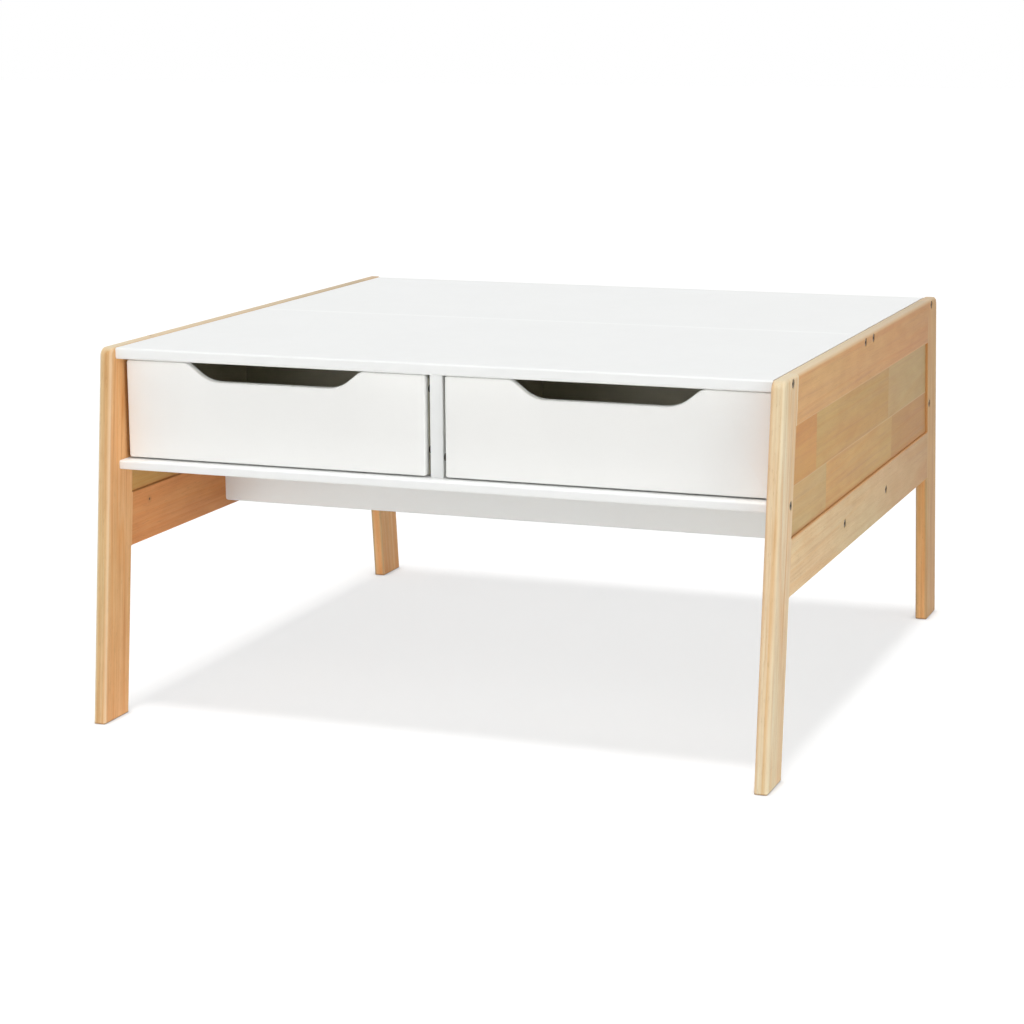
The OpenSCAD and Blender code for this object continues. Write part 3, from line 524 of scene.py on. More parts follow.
def satin_paint(name, colour, settings):
    """Satin paint on fibreboard: a faint orange peel from the spray, and slight changes of gloss."""
    recipe = Recipe(name)
    cloud = recipe.noise(recipe.place, scale=6.0, detail=3.0, roughness=0.5)
    peel = recipe.noise(recipe.place, scale=700.0, detail=2.0, roughness=0.5)
    haze = recipe.noise(recipe.mapped(recipe.place, move=HAZE_MOVE), scale=45.0, detail=4.0, roughness=0.6)
    dull = tuple(channel * settings.cloudiness for channel in colour)
    tone = recipe.mix(recipe.spread(cloud, 0.0, 1.0, *NOISE_RANGE), dull, colour)
    # Painted highlight: the paint is drawn paler along the seam between the two tabletop boards, where their
    # rounded edges shine a little
    _, y, z = recipe.split(recipe.place)
    sheen = recipe.spread(recipe.math("ABSOLUTE", y), settings.seam_sheen, 1.0, *SEAM_REACH)
    on_top = recipe.math("GREATER_THAN", z, LEG_HIGH.z - settings.seam_depth)
    sheen = recipe.math("MAXIMUM", recipe.math("MULTIPLY", sheen, on_top), 1.0)
    tone = recipe.tint(tone, recipe.join(sheen, sheen, sheen))
    smooth = settings.roughness - PAINT_SMOOTHER
    rough = settings.roughness + PAINT_ROUGHER
    recipe.set(recipe.shader.inputs["Base Color"], tone)
    recipe.set(recipe.shader.inputs["Roughness"], recipe.spread(haze, smooth, rough, *NOISE_RANGE))
    recipe.set(recipe.shader.inputs["Normal"], recipe.bump(peel, settings.peel, PEEL_DISTANCE))
    recipe.shader.inputs["Specular IOR Level"].default_value = PAINT_SPECULAR
    return recipe.material


def metal(name, colour, roughness, scratch_depth):
    """Turned and plated steel with fine rings of scratches and a few dull spots."""
    recipe = Recipe(name)
    scratch = recipe.noise(recipe.mapped(recipe.place, SCRATCH_WAVES), detail=2.0, roughness=0.6)
    spot = recipe.noise(recipe.place, scale=320.0, detail=3.0, roughness=0.6)
    light = tuple(min(1.0, channel * SCRATCH_GAIN + SCRATCH_LIFT) for channel in colour)
    tone = recipe.mix(recipe.spread(scratch, 0.0, SCRATCH_SHARE, *SCRATCH_RANGE), colour, light)
    recipe.set(recipe.shader.inputs["Base Color"], tone)
    dull = recipe.spread(spot, roughness - METAL_SMOOTHER, roughness + METAL_ROUGHER, *NOISE_RANGE)
    recipe.set(recipe.shader.inputs["Roughness"], dull)
    recipe.set(recipe.shader.inputs["Normal"], recipe.bump(scratch, scratch_depth, SCRATCH_DISTANCE))
    recipe.shader.inputs["Metallic"].default_value = 1.0
    return recipe.material


def glide_nylon(settings):
    """Moulded white nylon, slightly cloudy, with rub marks along the way that the drawer runs."""
    recipe = Recipe("glide_nylon")
    cloud = recipe.noise(recipe.place, scale=60.0, detail=3.0, roughness=0.5)
    rub = recipe.noise(recipe.mapped(recipe.place, RUB_WAVES), detail=2.0, roughness=0.5)
    dull = tuple(channel * NYLON_DULL for channel in settings.nylon_colour)
    recipe.set(recipe.shader.inputs["Base Color"], recipe.mix(cloud, dull, settings.nylon_colour))
    recipe.set(recipe.shader.inputs["Roughness"], recipe.spread(rub, *RUB_ROUGHNESS, *NOISE_RANGE))
    recipe.set(recipe.shader.inputs["Normal"], recipe.bump(rub, RUB_RELIEF, RUB_DISTANCE))
    recipe.shader.inputs["Subsurface Weight"].default_value = NYLON_GLOW
    recipe.shader.inputs["Subsurface Radius"].default_value = (NYLON_GLOW_DEPTH,) * 3
    recipe.shader.inputs["Subsurface Scale"].default_value = 1.0
    return recipe.material


def dress(names, material):
    """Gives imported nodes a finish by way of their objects' own material slots."""
    for name in names:
        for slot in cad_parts[name].material_slots:
            slot.material = material


# ---------------------------------------------------------------- settings


def colour_setting(name, description, default):
    return bpy.props.FloatVectorProperty(
        name=name, description=description, default=default, subtype="COLOR", size=3, min=0.0, max=2.0
    )


def length_setting(name, description, default, **limits):
    return bpy.props.FloatProperty(
        name=name, description=description, default=default, unit="LENGTH", precision=4, **limits
    )


def share_setting(name, description, default, **limits):
    return bpy.props.FloatProperty(name=name, description=description, default=default, **limits)


def angle_setting(name, description, default, **limits):
    return bpy.props.FloatProperty(
        name=name, description=description, default=default, subtype="ANGLE", **limits
    )


def count_setting(name, description, default, **limits):
    return bpy.props.IntProperty(name=name, description=description, default=default, **limits)


def vector_setting(name, description, default, **kind):
    return bpy.props.FloatVectorProperty(name=name, description=description, default=default, **kind)


class PlayTableWood(bpy.types.PropertyGroup):
    """Lacquered wood of the side frames and panels."""

    front_left_tone: colour_setting("Front left leg", "Tone of the leg's front face", (0.69, 0.485, 0.265))
    front_right_tone: colour_setting("Front right leg", "Tone of the leg's front face", (0.77, 0.63, 0.425))
    # Painted light: the rear left leg's front is drawn paler for the light that reaches it
    rear_left_lit_tone: colour_setting("Rear left leg", "Tone of the leg's front face", (0.95, 0.52, 0.235))
    rear_right_tone: colour_setting("Rear right leg", "Tone of the leg's front face", (0.85, 0.485, 0.212))
    front_outer_tone: colour_setting("Front legs outside", "Tone of the outer faces", (0.84, 0.70, 0.47))
    rear_outer_tone: colour_setting("Rear legs outside", "Tone of the outer faces", (0.55, 0.35, 0.155))
    # Painted shade: the inner faces are drawn more orange for the warm shade under the table
    inner_shaded_tone: colour_setting("Legs inside", "Tone of the inner faces", (0.80, 0.46, 0.208))
    top_rail_tone: colour_setting("Top rails", "Tone at the front end", (0.75, 0.415, 0.158))
    lower_rail_tone: colour_setting("Right lower rail", "Tone at the front end", (0.88, 0.68, 0.39))
    # Painted shade: darker, more orange tone for the left lower rail under the table
    left_lower_rail_shaded_tone: colour_setting("Left lower rail", "Tone at the front end", (0.74, 0.33, 0.118))
    # Painted shade: tints that darken rails and panels towards the rear, where less light reaches
    lower_rail_painted_shade: colour_setting("Lower rails' rear", "Tint at the rear end", (0.52, 0.40, 0.305))
    rear_painted_shade: colour_setting("Rear shade", "Tint of rails and panels at their rear end", (0.65, 0.62, 0.60))
    orange_tone: colour_setting("Orange stave", "Tone of the stave by the front leg", (0.67, 0.35, 0.10))
    olive_tone: colour_setting("Olive stave", "Tone of the yellow-olive stave", (0.655, 0.41, 0.135))
    green_tone: colour_setting("Green stave", "Tone of the palest staves", (0.66, 0.45, 0.19))
    tan_tone: colour_setting("Tan stave", "Tone of the plain tan stave", (0.71, 0.43, 0.145))
    rosy_tone: colour_setting("Rosy stave", "Tone of the reddest stave", (0.63, 0.36, 0.115))
    leg_contrast: share_setting("Leg contrast", "Strength of streaks and rings", 1.0, min=0.0, max=2.0)
    board_contrast: share_setting("Board contrast", "The same in rails and panels", 0.5, min=0.0, max=2.0)
    ring_count: share_setting("Rings", "Growth rings across a hand's width", 9.0, min=1.0, max=30.0)
    ring_depth: share_setting("Ring depth", "How strongly the growth rings show", 0.6, min=0.0, max=1.0)
    late_wood_tint: colour_setting("Late wood", "Tint of the dark side of a ring", (0.95, 0.74, 0.50))
    # Also the colour of the painted shade at the bottom of the legs
    pore_and_foot_shade_colour: colour_setting("Pore", "Short dark pores", (0.33, 0.16, 0.06))
    pore_depth: share_setting("Pore depth", "How strongly the pores show", 0.35, min=0.0, max=1.0)
    fibre_contrast: share_setting("Fibre contrast", "Light and dark of single fibres", 0.05, min=0.0, max=0.3)
    roughness: share_setting("Roughness", "Middle roughness of the lacquered wood", 0.5, min=0.1, max=0.9)
    gloss: share_setting("Gloss", "Specular level of the lacquered wood", 0.15, min=0.0, max=1.0)
    lacquer: share_setting("Lacquer", "Weight of the clear coat", 0.05, min=0.0, max=1.0)
    # Pale colour of the real glue lines, also used for the painted highlights on rounded edges and the
    # painted light on the frames' tops
    pale_glue_and_highlight_colour: colour_setting("Worn", "Pale wood of rubbed edges and glue lines", (0.79, 0.68, 0.48))
    edge_width: length_setting("Edge width", "Width of the rounded edges", 0.0045, min=0.001, max=0.008)
    # Painted highlight: width of the pale band drawn beside a leg's outer edges
    highlight_band_width: length_setting("Band width", "Width of the pale band beside a leg's outer edges", 0.008)
    # Painted highlight on the rounded long edges, and painted light on the frames' tops
    edge_highlight: share_setting("Edge wear", "How pale the rounded long edges are", 0.35, min=0.0, max=1.0)
    top_painted_light: share_setting("Top wear", "How pale the tops of the frames are", 0.8, min=0.0, max=1.0)
    # Painted shade: dark orange drawn in the grooves and recesses beside the panels
    recess_shade_colour: colour_setting("Pooled lacquer", "Lacquer run together in corners", (0.52, 0.22, 0.055))
    recess_shade_depth: share_setting("Pool depth", "How strongly pooled lacquer shows", 0.75, min=0.0, max=1.0)
    knot_colour: colour_setting("Knot", "Core of a pin knot", (0.05, 0.02, 0.01))
    knot_ring_colour: colour_setting("Knot ring", "Soft ring round a pin knot", (0.42, 0.20, 0.07))
    # Painted shade: how far up and how dark the bottom of each leg is drawn
    foot_shade_height: length_setting("Foot height", "How far the dark end grain shows above the floor", 0.0024)
    foot_painted_shade: share_setting("Foot dark", "How dark the end grain is", 0.7, min=0.0, max=1.0)
    lean: share_setting("Lean", "Run of a leg to the front for each unit of height", 0.108, min=0.0, max=0.2)
    row_joint: length_setting("Stave joint", "Height of the glue line between two rows of staves", 0.362)
    # Also sets the strength of the painted highlight on the top rails' lower edge
    glue_line_and_rail_highlight: share_setting("Glue line", "How strongly the glue line shows", 0.22, min=0.0, max=1.0)


class PlayTablePaint(bpy.types.PropertyGroup):
    """Satin white paint of the boards and drawers."""

    colour: colour_setting("Colour", "Colour of the paint", (0.878, 0.888, 0.88))
    # Painted light: the drawer boxes are drawn warmer and paler than the white paint, for the warm light
    # inside the drawers
    inside_warm_light_colour: colour_setting("Drawer boxes", "Thinner and warmer coat", (0.95, 0.90, 0.73))
    seam_sheen: share_setting("Seam sheen", "How much paler the top's edges are at the seam", 1.06)
    seam_depth: length_setting("Seam depth", "How far down the seam's sheen reaches", 0.004)
    cloudiness: share_setting("Cloudiness", "Darkest tone as a share of the colour", 0.985, min=0.8, max=1.0)
    roughness: share_setting("Roughness", "Middle roughness of the paint", 0.42, min=0.1, max=0.9)
    peel: share_setting("Orange peel", "Strength of the sprayed texture", 0.05, min=0.0, max=0.5)


class PlayTableFittings(bpy.types.PropertyGroup):
    """Metal and nylon fittings."""

    bronze_colour: colour_setting("Dark plating", "Bolts and cam locks", (0.13, 0.105, 0.085))
    bronze_roughness: share_setting("Plating roughness", "Middle roughness of the dark plating", 0.38)
    bronze_scratches: share_setting("Plating scratches", "Relief of the dark plating's scratches", 0.25)
    zinc_colour: colour_setting("Zinc", "Barrel nuts, posts and screws", (0.58, 0.58, 0.57))
    zinc_roughness: share_setting("Zinc roughness", "Middle roughness of the zinc", 0.30)
    zinc_scratches: share_setting("Zinc scratches", "Relief of the zinc's scratches", 0.35)
    nylon_colour: colour_setting("Nylon", "Glides under the drawers", (0.80, 0.80, 0.77))


class PlayTableFront(bpy.types.PropertyGroup):
    """Shape of the scoop handles in the drawer fronts."""

    scoop_width: length_setting("Scoop width", "Width at the top edge", 0.260, min=0.18, max=0.33)
    scoop_depth: length_setting("Scoop depth", "Depth below the top edge", 0.0235, min=0.02, max=0.034)
    scoop_slope: angle_setting(
        "Ramp slope", "Slope of the two ramps", math.radians(38), min=math.radians(30), max=math.radians(44)
    )
    low_radius: length_setting("Low radius", "Radius where a ramp meets the bottom of the scoop", 0.050)
    top_radius: length_setting("Top radius", "Radius where a ramp meets the top edge", 0.016)
    edge_radius: length_setting("Edge radius", "Rounding of the edges that a hand touches", 0.002)
    corner_radius: length_setting("Corner radius", "Rounding of a front's four corners", 0.003)
    arc_steps: count_setting("Arc steps", "Straight parts in each arc of a scoop", 9, min=3, max=24)
    edge_steps: count_setting("Edge steps", "Straight parts across each rounded edge", 4, min=1, max=12)


class PlayTableStage(bpy.types.PropertyGroup):
    """Floor, light and camera."""

    floor_size: length_setting("Floor size", "Length and width of the floor", 40.0, min=5.0, max=100.0)
    floor_colour: colour_setting("Floor colour", "Colour that the table is lit with", (0.92, 0.92, 0.91))
    floor_glow: share_setting("Floor glow", "Share of plain white in the floor as the camera sees it", 0.68)
    floor_shade: share_setting("Floor shade", "Share of the light and shadow in the floor", 0.41)
    contact_reach: length_setting("Contact reach", "How far from a foot the floor is darkened", 0.012)
    contact_shade: share_setting("Contact shade", "Share of the glow left right under a foot", 0.25)
    sky_level: share_setting("Surround", "Level of the light from all round", 0.28, min=0.0, max=2.0)
    sky_slope: share_setting("Surround slope", "How much more of it comes from the front than the rear", 0.45)
    key_level: share_setting("Key", "Strength of the soft light above the table", 1.92, min=0.0, max=5.0)
    key_from: vector_setting("Key from", "Direction that the key light comes from", (0.03, -0.13, 1.0))
    key_spread: angle_setting("Key spread", "Angle that the key light fills", math.radians(10))
    front_level: share_setting("Front fill", "Strength of the light from the front", 0.56, min=0.0, max=5.0)
    front_from: vector_setting("Front from", "Direction that the front fill comes from", (-0.04, -1.0, 0.15))
    front_spread: angle_setting("Front spread", "Angle that the front fill fills", math.radians(22))
    side_level: share_setting("Side fill", "Strength of the light from the right", 0.94, min=0.0, max=5.0)
    side_from: vector_setting("Side from", "Direction that the side fill comes from", (1.0, -0.38, 0.05))
    side_spread: angle_setting("Side spread", "Angle that the side fill fills", math.radians(24))
    softbox_power: share_setting("Softbox", "Power in watts of the lamp before the table", 2.5, min=0.0)
    softbox_size: length_setting("Softbox size", "Length and width of that lamp", 1.2)
    softbox_place: vector_setting("Softbox place", "Where that lamp hangs", (0.3, -2.4, 1.8), unit="LENGTH")
    camera_place: vector_setting(
        "Camera", "Where the camera stands", (1.2362, -3.3935, 0.9686), unit="LENGTH"
    )
    camera_turn: angle_setting("Turn", "Turn of the camera to the left of +Y", 0.3633)
    camera_tilt: angle_setting("Tilt", "Tilt of the camera below level", 0.2035)
    camera_roll: angle_setting("Roll", "Roll of the camera", 0.0061)
    focal_share: share_setting("Focal length", "Focal length as a share of the picture's width", 2.5088)


GROUPS = {
    "play_table_wood": PlayTableWood,
    "play_table_paint": PlayTablePaint,
    "play_table_fittings": PlayTableFittings,
    "play_table_front": PlayTableFront,
    "play_table_stage": PlayTableStage,
}


# ---------------------------------------------------------------- modelling helpers

# How far apart two coordinates may lie and still count as the same, in metres
SLACK = 0.0002
ROUND_PROFILE = 0.5
SMOOTH_ANGLE = math.radians(35)


def deselect_everything():
    if bpy.context.object and bpy.context.object.mode != "OBJECT":
        bpy.ops.object.mode_set(mode="OBJECT")
    bpy.ops.object.select_all(action="DESELECT")


def choose_edges(obj, test):
    """In edit mode, selects the edges of a mesh whose two ends pass a test."""
    bpy.ops.mesh.select_all(action="DESELECT")
    bpy.ops.mesh.select_mode(type="EDGE")
    bpy.ops.object.mode_set(mode="OBJECT")
    for edge in obj.data.edges:
        a, b = (obj.data.vertices[i].co for i in edge.vertices)
        edge.select = test(a, b)
    bpy.ops.object.mode_set(mode="EDIT")


def scoop_runs(shape):
    """How far half a scoop's flat bottom, its lower arc and its upper arc each run to the side."""
    slope = shape.scoop_slope
    arcs_drop = (shape.low_radius + shape.top_radius) * (1 - math.cos(slope))
    ramp_run = (shape.scoop_depth - arcs_drop) / math.tan(slope)
    low_run = shape.low_radius * math.sin(slope)
    top_run = shape.top_radius * math.sin(slope)
    flat = shape.scoop_width / 2 - low_run - ramp_run - top_run
    return flat, low_run, top_run


def scoop_drop(across, shape):
    """How far the top edge of a drawer front lies below its ends, at a distance from the scoop's middle."""
    slope = shape.scoop_slope
    edge = shape.scoop_width / 2
    flat, low_run, top_run = scoop_runs(shape)
    if across <= flat:
        return shape.scoop_depth
    if across <= flat + low_run:
        run = across - flat
        return shape.scoop_depth - (shape.low_radius - math.sqrt(shape.low_radius**2 - run**2))
    if across < edge - top_run:
        low_rise = shape.low_radius * (1 - math.cos(slope))
        return shape.scoop_depth - low_rise - (across - flat - low_run) * math.tan(slope)
    if across < edge:
        run = edge - across
        return shape.top_radius - math.sqrt(shape.top_radius**2 - run**2)
    return 0.0


def scoop_stations(shape):
    """Distances from a scoop's middle at which its outline turns, from the inside out."""
    edge = shape.scoop_width / 2
    flat = scoop_runs(shape)[0]
    turns = [shape.scoop_slope * i / shape.arc_steps for i in range(shape.arc_steps + 1)]
    low_arc = [flat + shape.low_radius * math.sin(turn) for turn in turns]
    top_arc = [edge - shape.top_radius * math.sin(turn) for turn in reversed(turns)]
    return low_arc + top_arc


def model_drawer_front(name, shape):
    """Cuts a board at the scoop's stations, lowers its top edge there, thickens it and rounds its edges."""
    low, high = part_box(name)
    middle = (low.x + high.x) / 2
    deselect_everything()
    bpy.ops.mesh.primitive_plane_add(
        size=1, location=(middle, low.y, (low.z + high.z) / 2), rotation=(math.pi / 2, 0, 0)
    )
    front = bpy.context.object
    front.name = name + "_board"
    front.scale = (high.x - low.x, high.z - low.z, 1)
    bpy.ops.object.transform_apply(location=True, rotation=True, scale=True)

    bpy.ops.object.mode_set(mode="EDIT")
    for station in scoop_stations(shape):
        for side in (-1, 1):
            bpy.ops.mesh.select_all(action="SELECT")
            bpy.ops.mesh.bisect(plane_co=(middle + side * station, 0, 0), plane_no=(1, 0, 0))
    bpy.ops.object.mode_set(mode="OBJECT")
    for vertex in front.data.vertices:
        if vertex.co.z > high.z - SLACK:
            vertex.co.z -= scoop_drop(abs(vertex.co.x - middle), shape)

    bpy.ops.object.mode_set(mode="EDIT")
    bpy.ops.mesh.select_all(action="SELECT")
    bpy.ops.mesh.extrude_region_move(TRANSFORM_OT_translate={"value": (0, high.y - low.y, 0)})
    bpy.ops.mesh.select_all(action="SELECT")
    bpy.ops.mesh.normals_make_consistent(inside=False)

    def on_corner(a, b):
        at_end = min(abs(a.x - low.x), abs(a.x - high.x)) < SLACK
        return at_end and abs(a.y - b.y) > SLACK and abs(a.z - b.z) < SLACK

    def on_outline(a, b):
        upright_cut = abs(a.x - b.x) < SLACK and low.x + SLACK < a.x < high.x - SLACK
        return not upright_cut and abs(a.y - b.y) < SLACK

    def touched(a, b):
        # All round the outer face, and along the scoop on the inner one
        if not on_outline(a, b):
            return False
        if a.y < low.y + SLACK:
            return True
        in_scoop = max(abs(a.x - middle), abs(b.x - middle)) < shape.scoop_width / 2 + SLACK
        return in_scoop and min(a.z, b.z) > low.z + SLACK

    for test, radius in ((on_corner, shape.corner_radius), (touched, shape.edge_radius)):
        choose_edges(front, test)
        bpy.ops.mesh.bevel(
            offset=radius, segments=shape.edge_steps, profile=ROUND_PROFILE, affect="EDGES"
        )
    bpy.ops.object.mode_set(mode="OBJECT")
    bpy.ops.object.shade_smooth_by_angle(angle=SMOOTH_ANGLE)
    return front


# ---------------------------------------------------------------- operators


class PLAYTABLE_OT_legs(bpy.types.Operator):
    """Finish the four leaning legs"""

    bl_idname = "play_table.legs"
    bl_label = "Legs"

    def execute(self, context):
        names = [f"{side}_{end}_leg" for side in SIDES for end in ENDS]
        dress(names, leg_wood(context.scene.play_table_wood))
        return {"FINISHED"}


class PLAYTABLE_OT_rails(bpy.types.Operator):
    """Finish the top and lower rails of both frames"""

    bl_idname = "play_table.rails"
    bl_label = "Rails"

    def execute(self, context):
        names = [f"{side}_{height}_rail" for side in SIDES for height in ("top", "lower")]
        dress(names, rail_wood(context.scene.play_table_wood))
        return {"FINISHED"}


class PLAYTABLE_OT_side_panels(bpy.types.Operator):
    """Finish the two panels of glued-up staves"""

    bl_idname = "play_table.side_panels"
    bl_label = "Side panels"

    def execute(self, context):
        dress([f"{side}_side_panel" for side in SIDES], panel_wood(context.scene.play_table_wood))
        return {"FINISHED"}


class PLAYTABLE_OT_boards(bpy.types.Operator):
    """Finish the tabletop, shelf, divider, stretchers and drawer boxes in white paint"""

    bl_idname = "play_table.boards"
    bl_label = "White boards"

    def execute(self, context):
        settings = context.scene.play_table_paint
        names = ["front_top_board", "rear_top_board", "shelf", "centre_divider"]
        names += [f"{end}_stretcher" for end in ENDS]
        dress(names, satin_paint("white_paint", settings.colour, settings))
        # Painted light: the drawer boxes get a warmer, paler paint that stands for the warm light inside the
        # drawers
        boards = ("left_side", "right_side", "back", "bottom")
        names = [f"{side}_drawer_{board}" for side in SIDES for board in boards]
        dress(names, satin_paint("drawer_paint_warm_light", settings.inside_warm_light_colour, settings))
        return {"FINISHED"}


class PLAYTABLE_OT_drawer_fronts(bpy.types.Operator):
    """Model the two drawer fronts with rounded edges all round their scoops"""

    bl_idname = "play_table.drawer_fronts"
    bl_label = "Drawer fronts"

    def execute(self, context):
        paint = bpy.data.materials.get("white_paint")
        if paint is None:
            raise RuntimeError("paint the boards before the drawer fronts")
        for side in SIDES:
            name = f"{side}_drawer_front"
            front = model_drawer_front(name, context.scene.play_table_front)
            front.data.materials.append(paint)
            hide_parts(name)
            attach(front, f"{side}_drawer")
        return {"FINISHED"}


class PLAYTABLE_OT_fittings(bpy.types.Operator):
    """Finish bolts, nuts, cam locks, screws, dowels, glides and stop blocks"""

    bl_idname = "play_table.fittings"
    bl_label = "Fittings"

    def execute(self, context):
        settings = context.scene.play_table_fittings
        dark = metal(
            "dark_steel", settings.bronze_colour, settings.bronze_roughness, settings.bronze_scratches
        )
        zinc = metal("zinc_steel", settings.zinc_colour, settings.zinc_roughness, settings.zinc_scratches)
        wood = plain_wood(context.scene.play_table_wood)
        nylon = glide_nylon(settings)
        # The first ending that a node's name has counts, so the divider's dark nuts stand before the others
        endings = {
            "bolts": dark,
            "cam_locks": dark,
            "divider_barrel_nuts": dark,
            "barrel_nuts": zinc,
            "cam_posts": zinc,
            "screws": zinc,
            "dowels": wood,
            "stop": wood,
            "glides": nylon,
        }
        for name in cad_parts:
            for ending, material in endings.items():
                if name.endswith(ending):
                    dress([name], material)
                    break
        return {"FINISHED"}


def add_sun(name, towards, level, spread):
    """Soft light that comes from a direction, the same all over the floor."""
    lamp = bpy.data.lights.new(name, "SUN")
    lamp.energy = level
    lamp.angle = spread
    holder = bpy.data.objects.new(name, lamp)
    holder.rotation_mode = "QUATERNION"
    holder.rotation_quaternion = Vector(towards).to_track_quat("Z", "Y")
    bpy.context.scene.collection.objects.link(holder)


def add_softbox(settings):
    """Square lamp over and before the table, near enough that the rear of the top gets less of its light."""
    lamp = bpy.data.lights.new("softbox", "AREA")
    lamp.energy = settings.softbox_power
    lamp.size = settings.softbox_size
    holder = bpy.data.objects.new("softbox", lamp)
    top_middle = Vector((0.0, 0.0, LEG_HIGH.z))
    holder.location = settings.softbox_place
    holder.rotation_mode = "QUATERNION"
    holder.rotation_quaternion = (holder.location - top_middle).to_track_quat("Z", "Y")
    bpy.context.scene.collection.objects.link(holder)


def seen_rays(tree):
    """1 for rays that show a surface to the eye: straight, by reflection or through glass."""
    path = tree.nodes.new("ShaderNodeLightPath")
    total = path.outputs["Is Camera Ray"]
    for ray in ("Is Glossy Ray", "Is Transmission Ray"):
        both = tree.nodes.new("ShaderNodeMath")
        both.operation = "MAXIMUM"
        tree.links.new(total, both.inputs[0])
        tree.links.new(path.outputs[ray], both.inputs[1])
        total = both.outputs[0]
    return total


# Rays that look for a foot next to each point of the floor
CONTACT_RAYS = 8


def floor_finish(settings):
    """Pale floor: seen, it is white with the table's shadow in it; to the table it is plain and pale."""
    recipe = Recipe("studio_floor")
    tree = recipe.tree
    tree.nodes.remove(recipe.shader)
    bounce = tree.nodes.new("ShaderNodeBsdfDiffuse")
    bounce.inputs["Color"].default_value = (*settings.floor_colour, 1.0)
    shaded = tree.nodes.new("ShaderNodeBsdfDiffuse")
    shaded.inputs["Color"].default_value = (settings.floor_shade,) * 3 + (1.0,)
    # Next to the feet, light doesn't reach the floor
    nearness = tree.nodes.new("ShaderNodeAmbientOcclusion")
    nearness.samples = CONTACT_RAYS
    nearness.inputs["Distance"].default_value = settings.contact_reach
    open_share = recipe.spread(nearness.outputs["AO"], settings.contact_shade, 1.0)
    glow = tree.nodes.new("ShaderNodeEmission")
    recipe.set(glow.inputs["Strength"], recipe.math("MULTIPLY", open_share, settings.floor_glow))
    both = tree.nodes.new("ShaderNodeAddShader")
    tree.links.new(shaded.outputs[0], both.inputs[0])
    tree.links.new(glow.outputs[0], both.inputs[1])
    choice = tree.nodes.new("ShaderNodeMixShader")
    tree.links.new(seen_rays(tree), choice.inputs[0])
    tree.links.new(bounce.outputs[0], choice.inputs[1])
    tree.links.new(both.outputs[0], choice.inputs[2])
    tree.links.new(choice.outputs[0], recipe.output.inputs[0])
    return recipe.material


def light_the_room(settings):
    """Light from all round, more of it from the front, shown as white; and four soft lamps."""
    world = bpy.data.worlds.new("studio")
    bpy.context.scene.world = world
    world.use_nodes = True
    tree = world.node_tree
    background = tree.nodes["Background"]
    background.inputs["Color"].default_value = (*WHITE, 1.0)
    way = tree.nodes.new("ShaderNodeTexCoord")
    parts = tree.nodes.new("ShaderNodeSeparateXYZ")
    tree.links.new(way.outputs["Generated"], parts.inputs[0])
    around = tree.nodes.new("ShaderNodeMapRange")
    tree.links.new(parts.outputs["Y"], around.inputs["Value"])
    around.inputs["From Min"].default_value = -1.0
    around.inputs["To Min"].default_value = settings.sky_level * (1 + settings.sky_slope)
    around.inputs["To Max"].default_value = settings.sky_level * (1 - settings.sky_slope)
    level = tree.nodes.new("ShaderNodeMix")
    tree.links.new(around.outputs["Result"], level.inputs[MIX_VALUE_A])
    level.inputs[MIX_VALUE_B].default_value = 1.0
    tree.links.new(seen_rays(tree), level.inputs["Factor"])
    tree.links.new(level.outputs[MIX_VALUE_RESULT], background.inputs["Strength"])
    add_sun("key", settings.key_from, settings.key_level, settings.key_spread)
    add_sun("front_fill", settings.front_from, settings.front_level, settings.front_spread)
    add_sun("side_fill", settings.side_from, settings.side_level, settings.side_spread)
    add_softbox(settings)


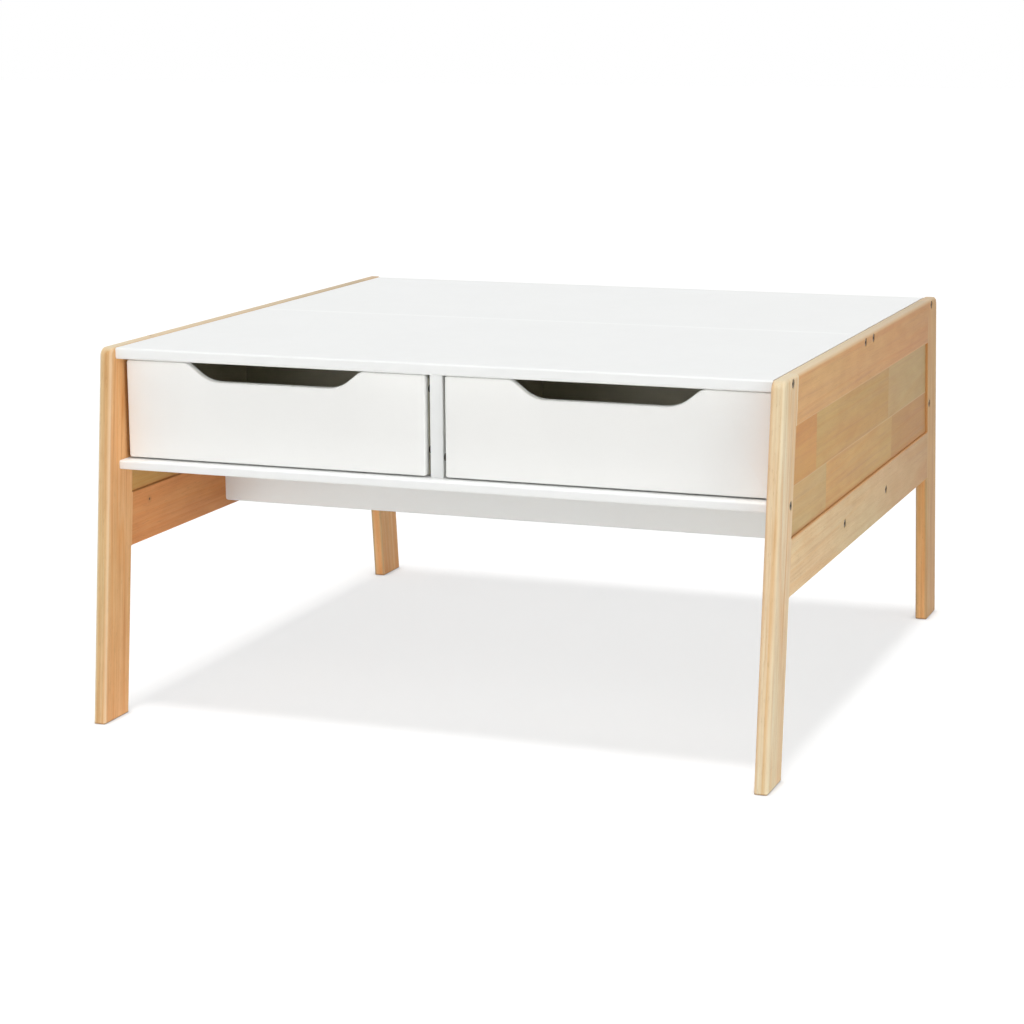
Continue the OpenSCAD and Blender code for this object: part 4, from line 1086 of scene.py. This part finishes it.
class PLAYTABLE_OT_stage(bpy.types.Operator):
    """Add the floor, the light and the camera"""

    bl_idname = "play_table.stage"
    bl_label = "Stage"

    def execute(self, context):
        settings = context.scene.play_table_stage
        deselect_everything()
        bpy.ops.mesh.primitive_plane_add(size=settings.floor_size, location=(0, 0, 0))
        floor = context.object
        floor.name = "studio_floor"
        floor.data.materials.append(floor_finish(settings))

        light_the_room(settings)
        context.scene.view_settings.view_transform = "Standard"

        camera = bpy.data.cameras.new("camera")
        camera.lens = settings.focal_share * camera.sensor_width
        camera.clip_end = 2 * settings.floor_size
        holder = bpy.data.objects.new("camera", camera)
        look = Matrix.Rotation(settings.camera_turn, 4, "Z") @ Matrix.Rotation(
            math.pi / 2 - settings.camera_tilt, 4, "X"
        )
        holder.matrix_world = (
            Matrix.Translation(settings.camera_place) @ look @ Matrix.Rotation(-settings.camera_roll, 4, "Z")
        )
        context.scene.collection.objects.link(holder)
        context.scene.camera = holder
        return {"FINISHED"}


STEPS = (
    PLAYTABLE_OT_legs,
    PLAYTABLE_OT_rails,
    PLAYTABLE_OT_side_panels,
    PLAYTABLE_OT_boards,
    PLAYTABLE_OT_drawer_fronts,
    PLAYTABLE_OT_fittings,
    PLAYTABLE_OT_stage,
)


class PLAYTABLE_PT_steps(bpy.types.Panel):
    """Lists the steps in the order in which they are run"""

    bl_idname = "PLAYTABLE_PT_steps"
    bl_label = "Play Table"
    bl_space_type = "VIEW_3D"
    bl_region_type = "UI"
    bl_category = "Play Table"

    def draw(self, context):
        for step in STEPS:
            self.layout.operator(step.bl_idname)
        for name in GROUPS:
            group = getattr(context.scene, name)
            box = self.layout.box()
            for field in group.__annotations__:
                box.prop(group, field)


CLASSES = (*GROUPS.values(), *STEPS, PLAYTABLE_PT_steps)


def register():
    for cls in CLASSES:
        bpy.utils.register_class(cls)
    for name, group in GROUPS.items():
        setattr(bpy.types.Scene, name, bpy.props.PointerProperty(type=group))


def unregister():
    for name in GROUPS:
        delattr(bpy.types.Scene, name)
    for cls in reversed(CLASSES):
        bpy.utils.unregister_class(cls)


def main():
    register()
    bpy.ops.play_table.legs()
    bpy.ops.play_table.rails()
    bpy.ops.play_table.side_panels()
    bpy.ops.play_table.boards()
    bpy.ops.play_table.drawer_fronts()
    bpy.ops.play_table.fittings()
    bpy.ops.play_table.stage()


if __name__ == "__main__":
    main()
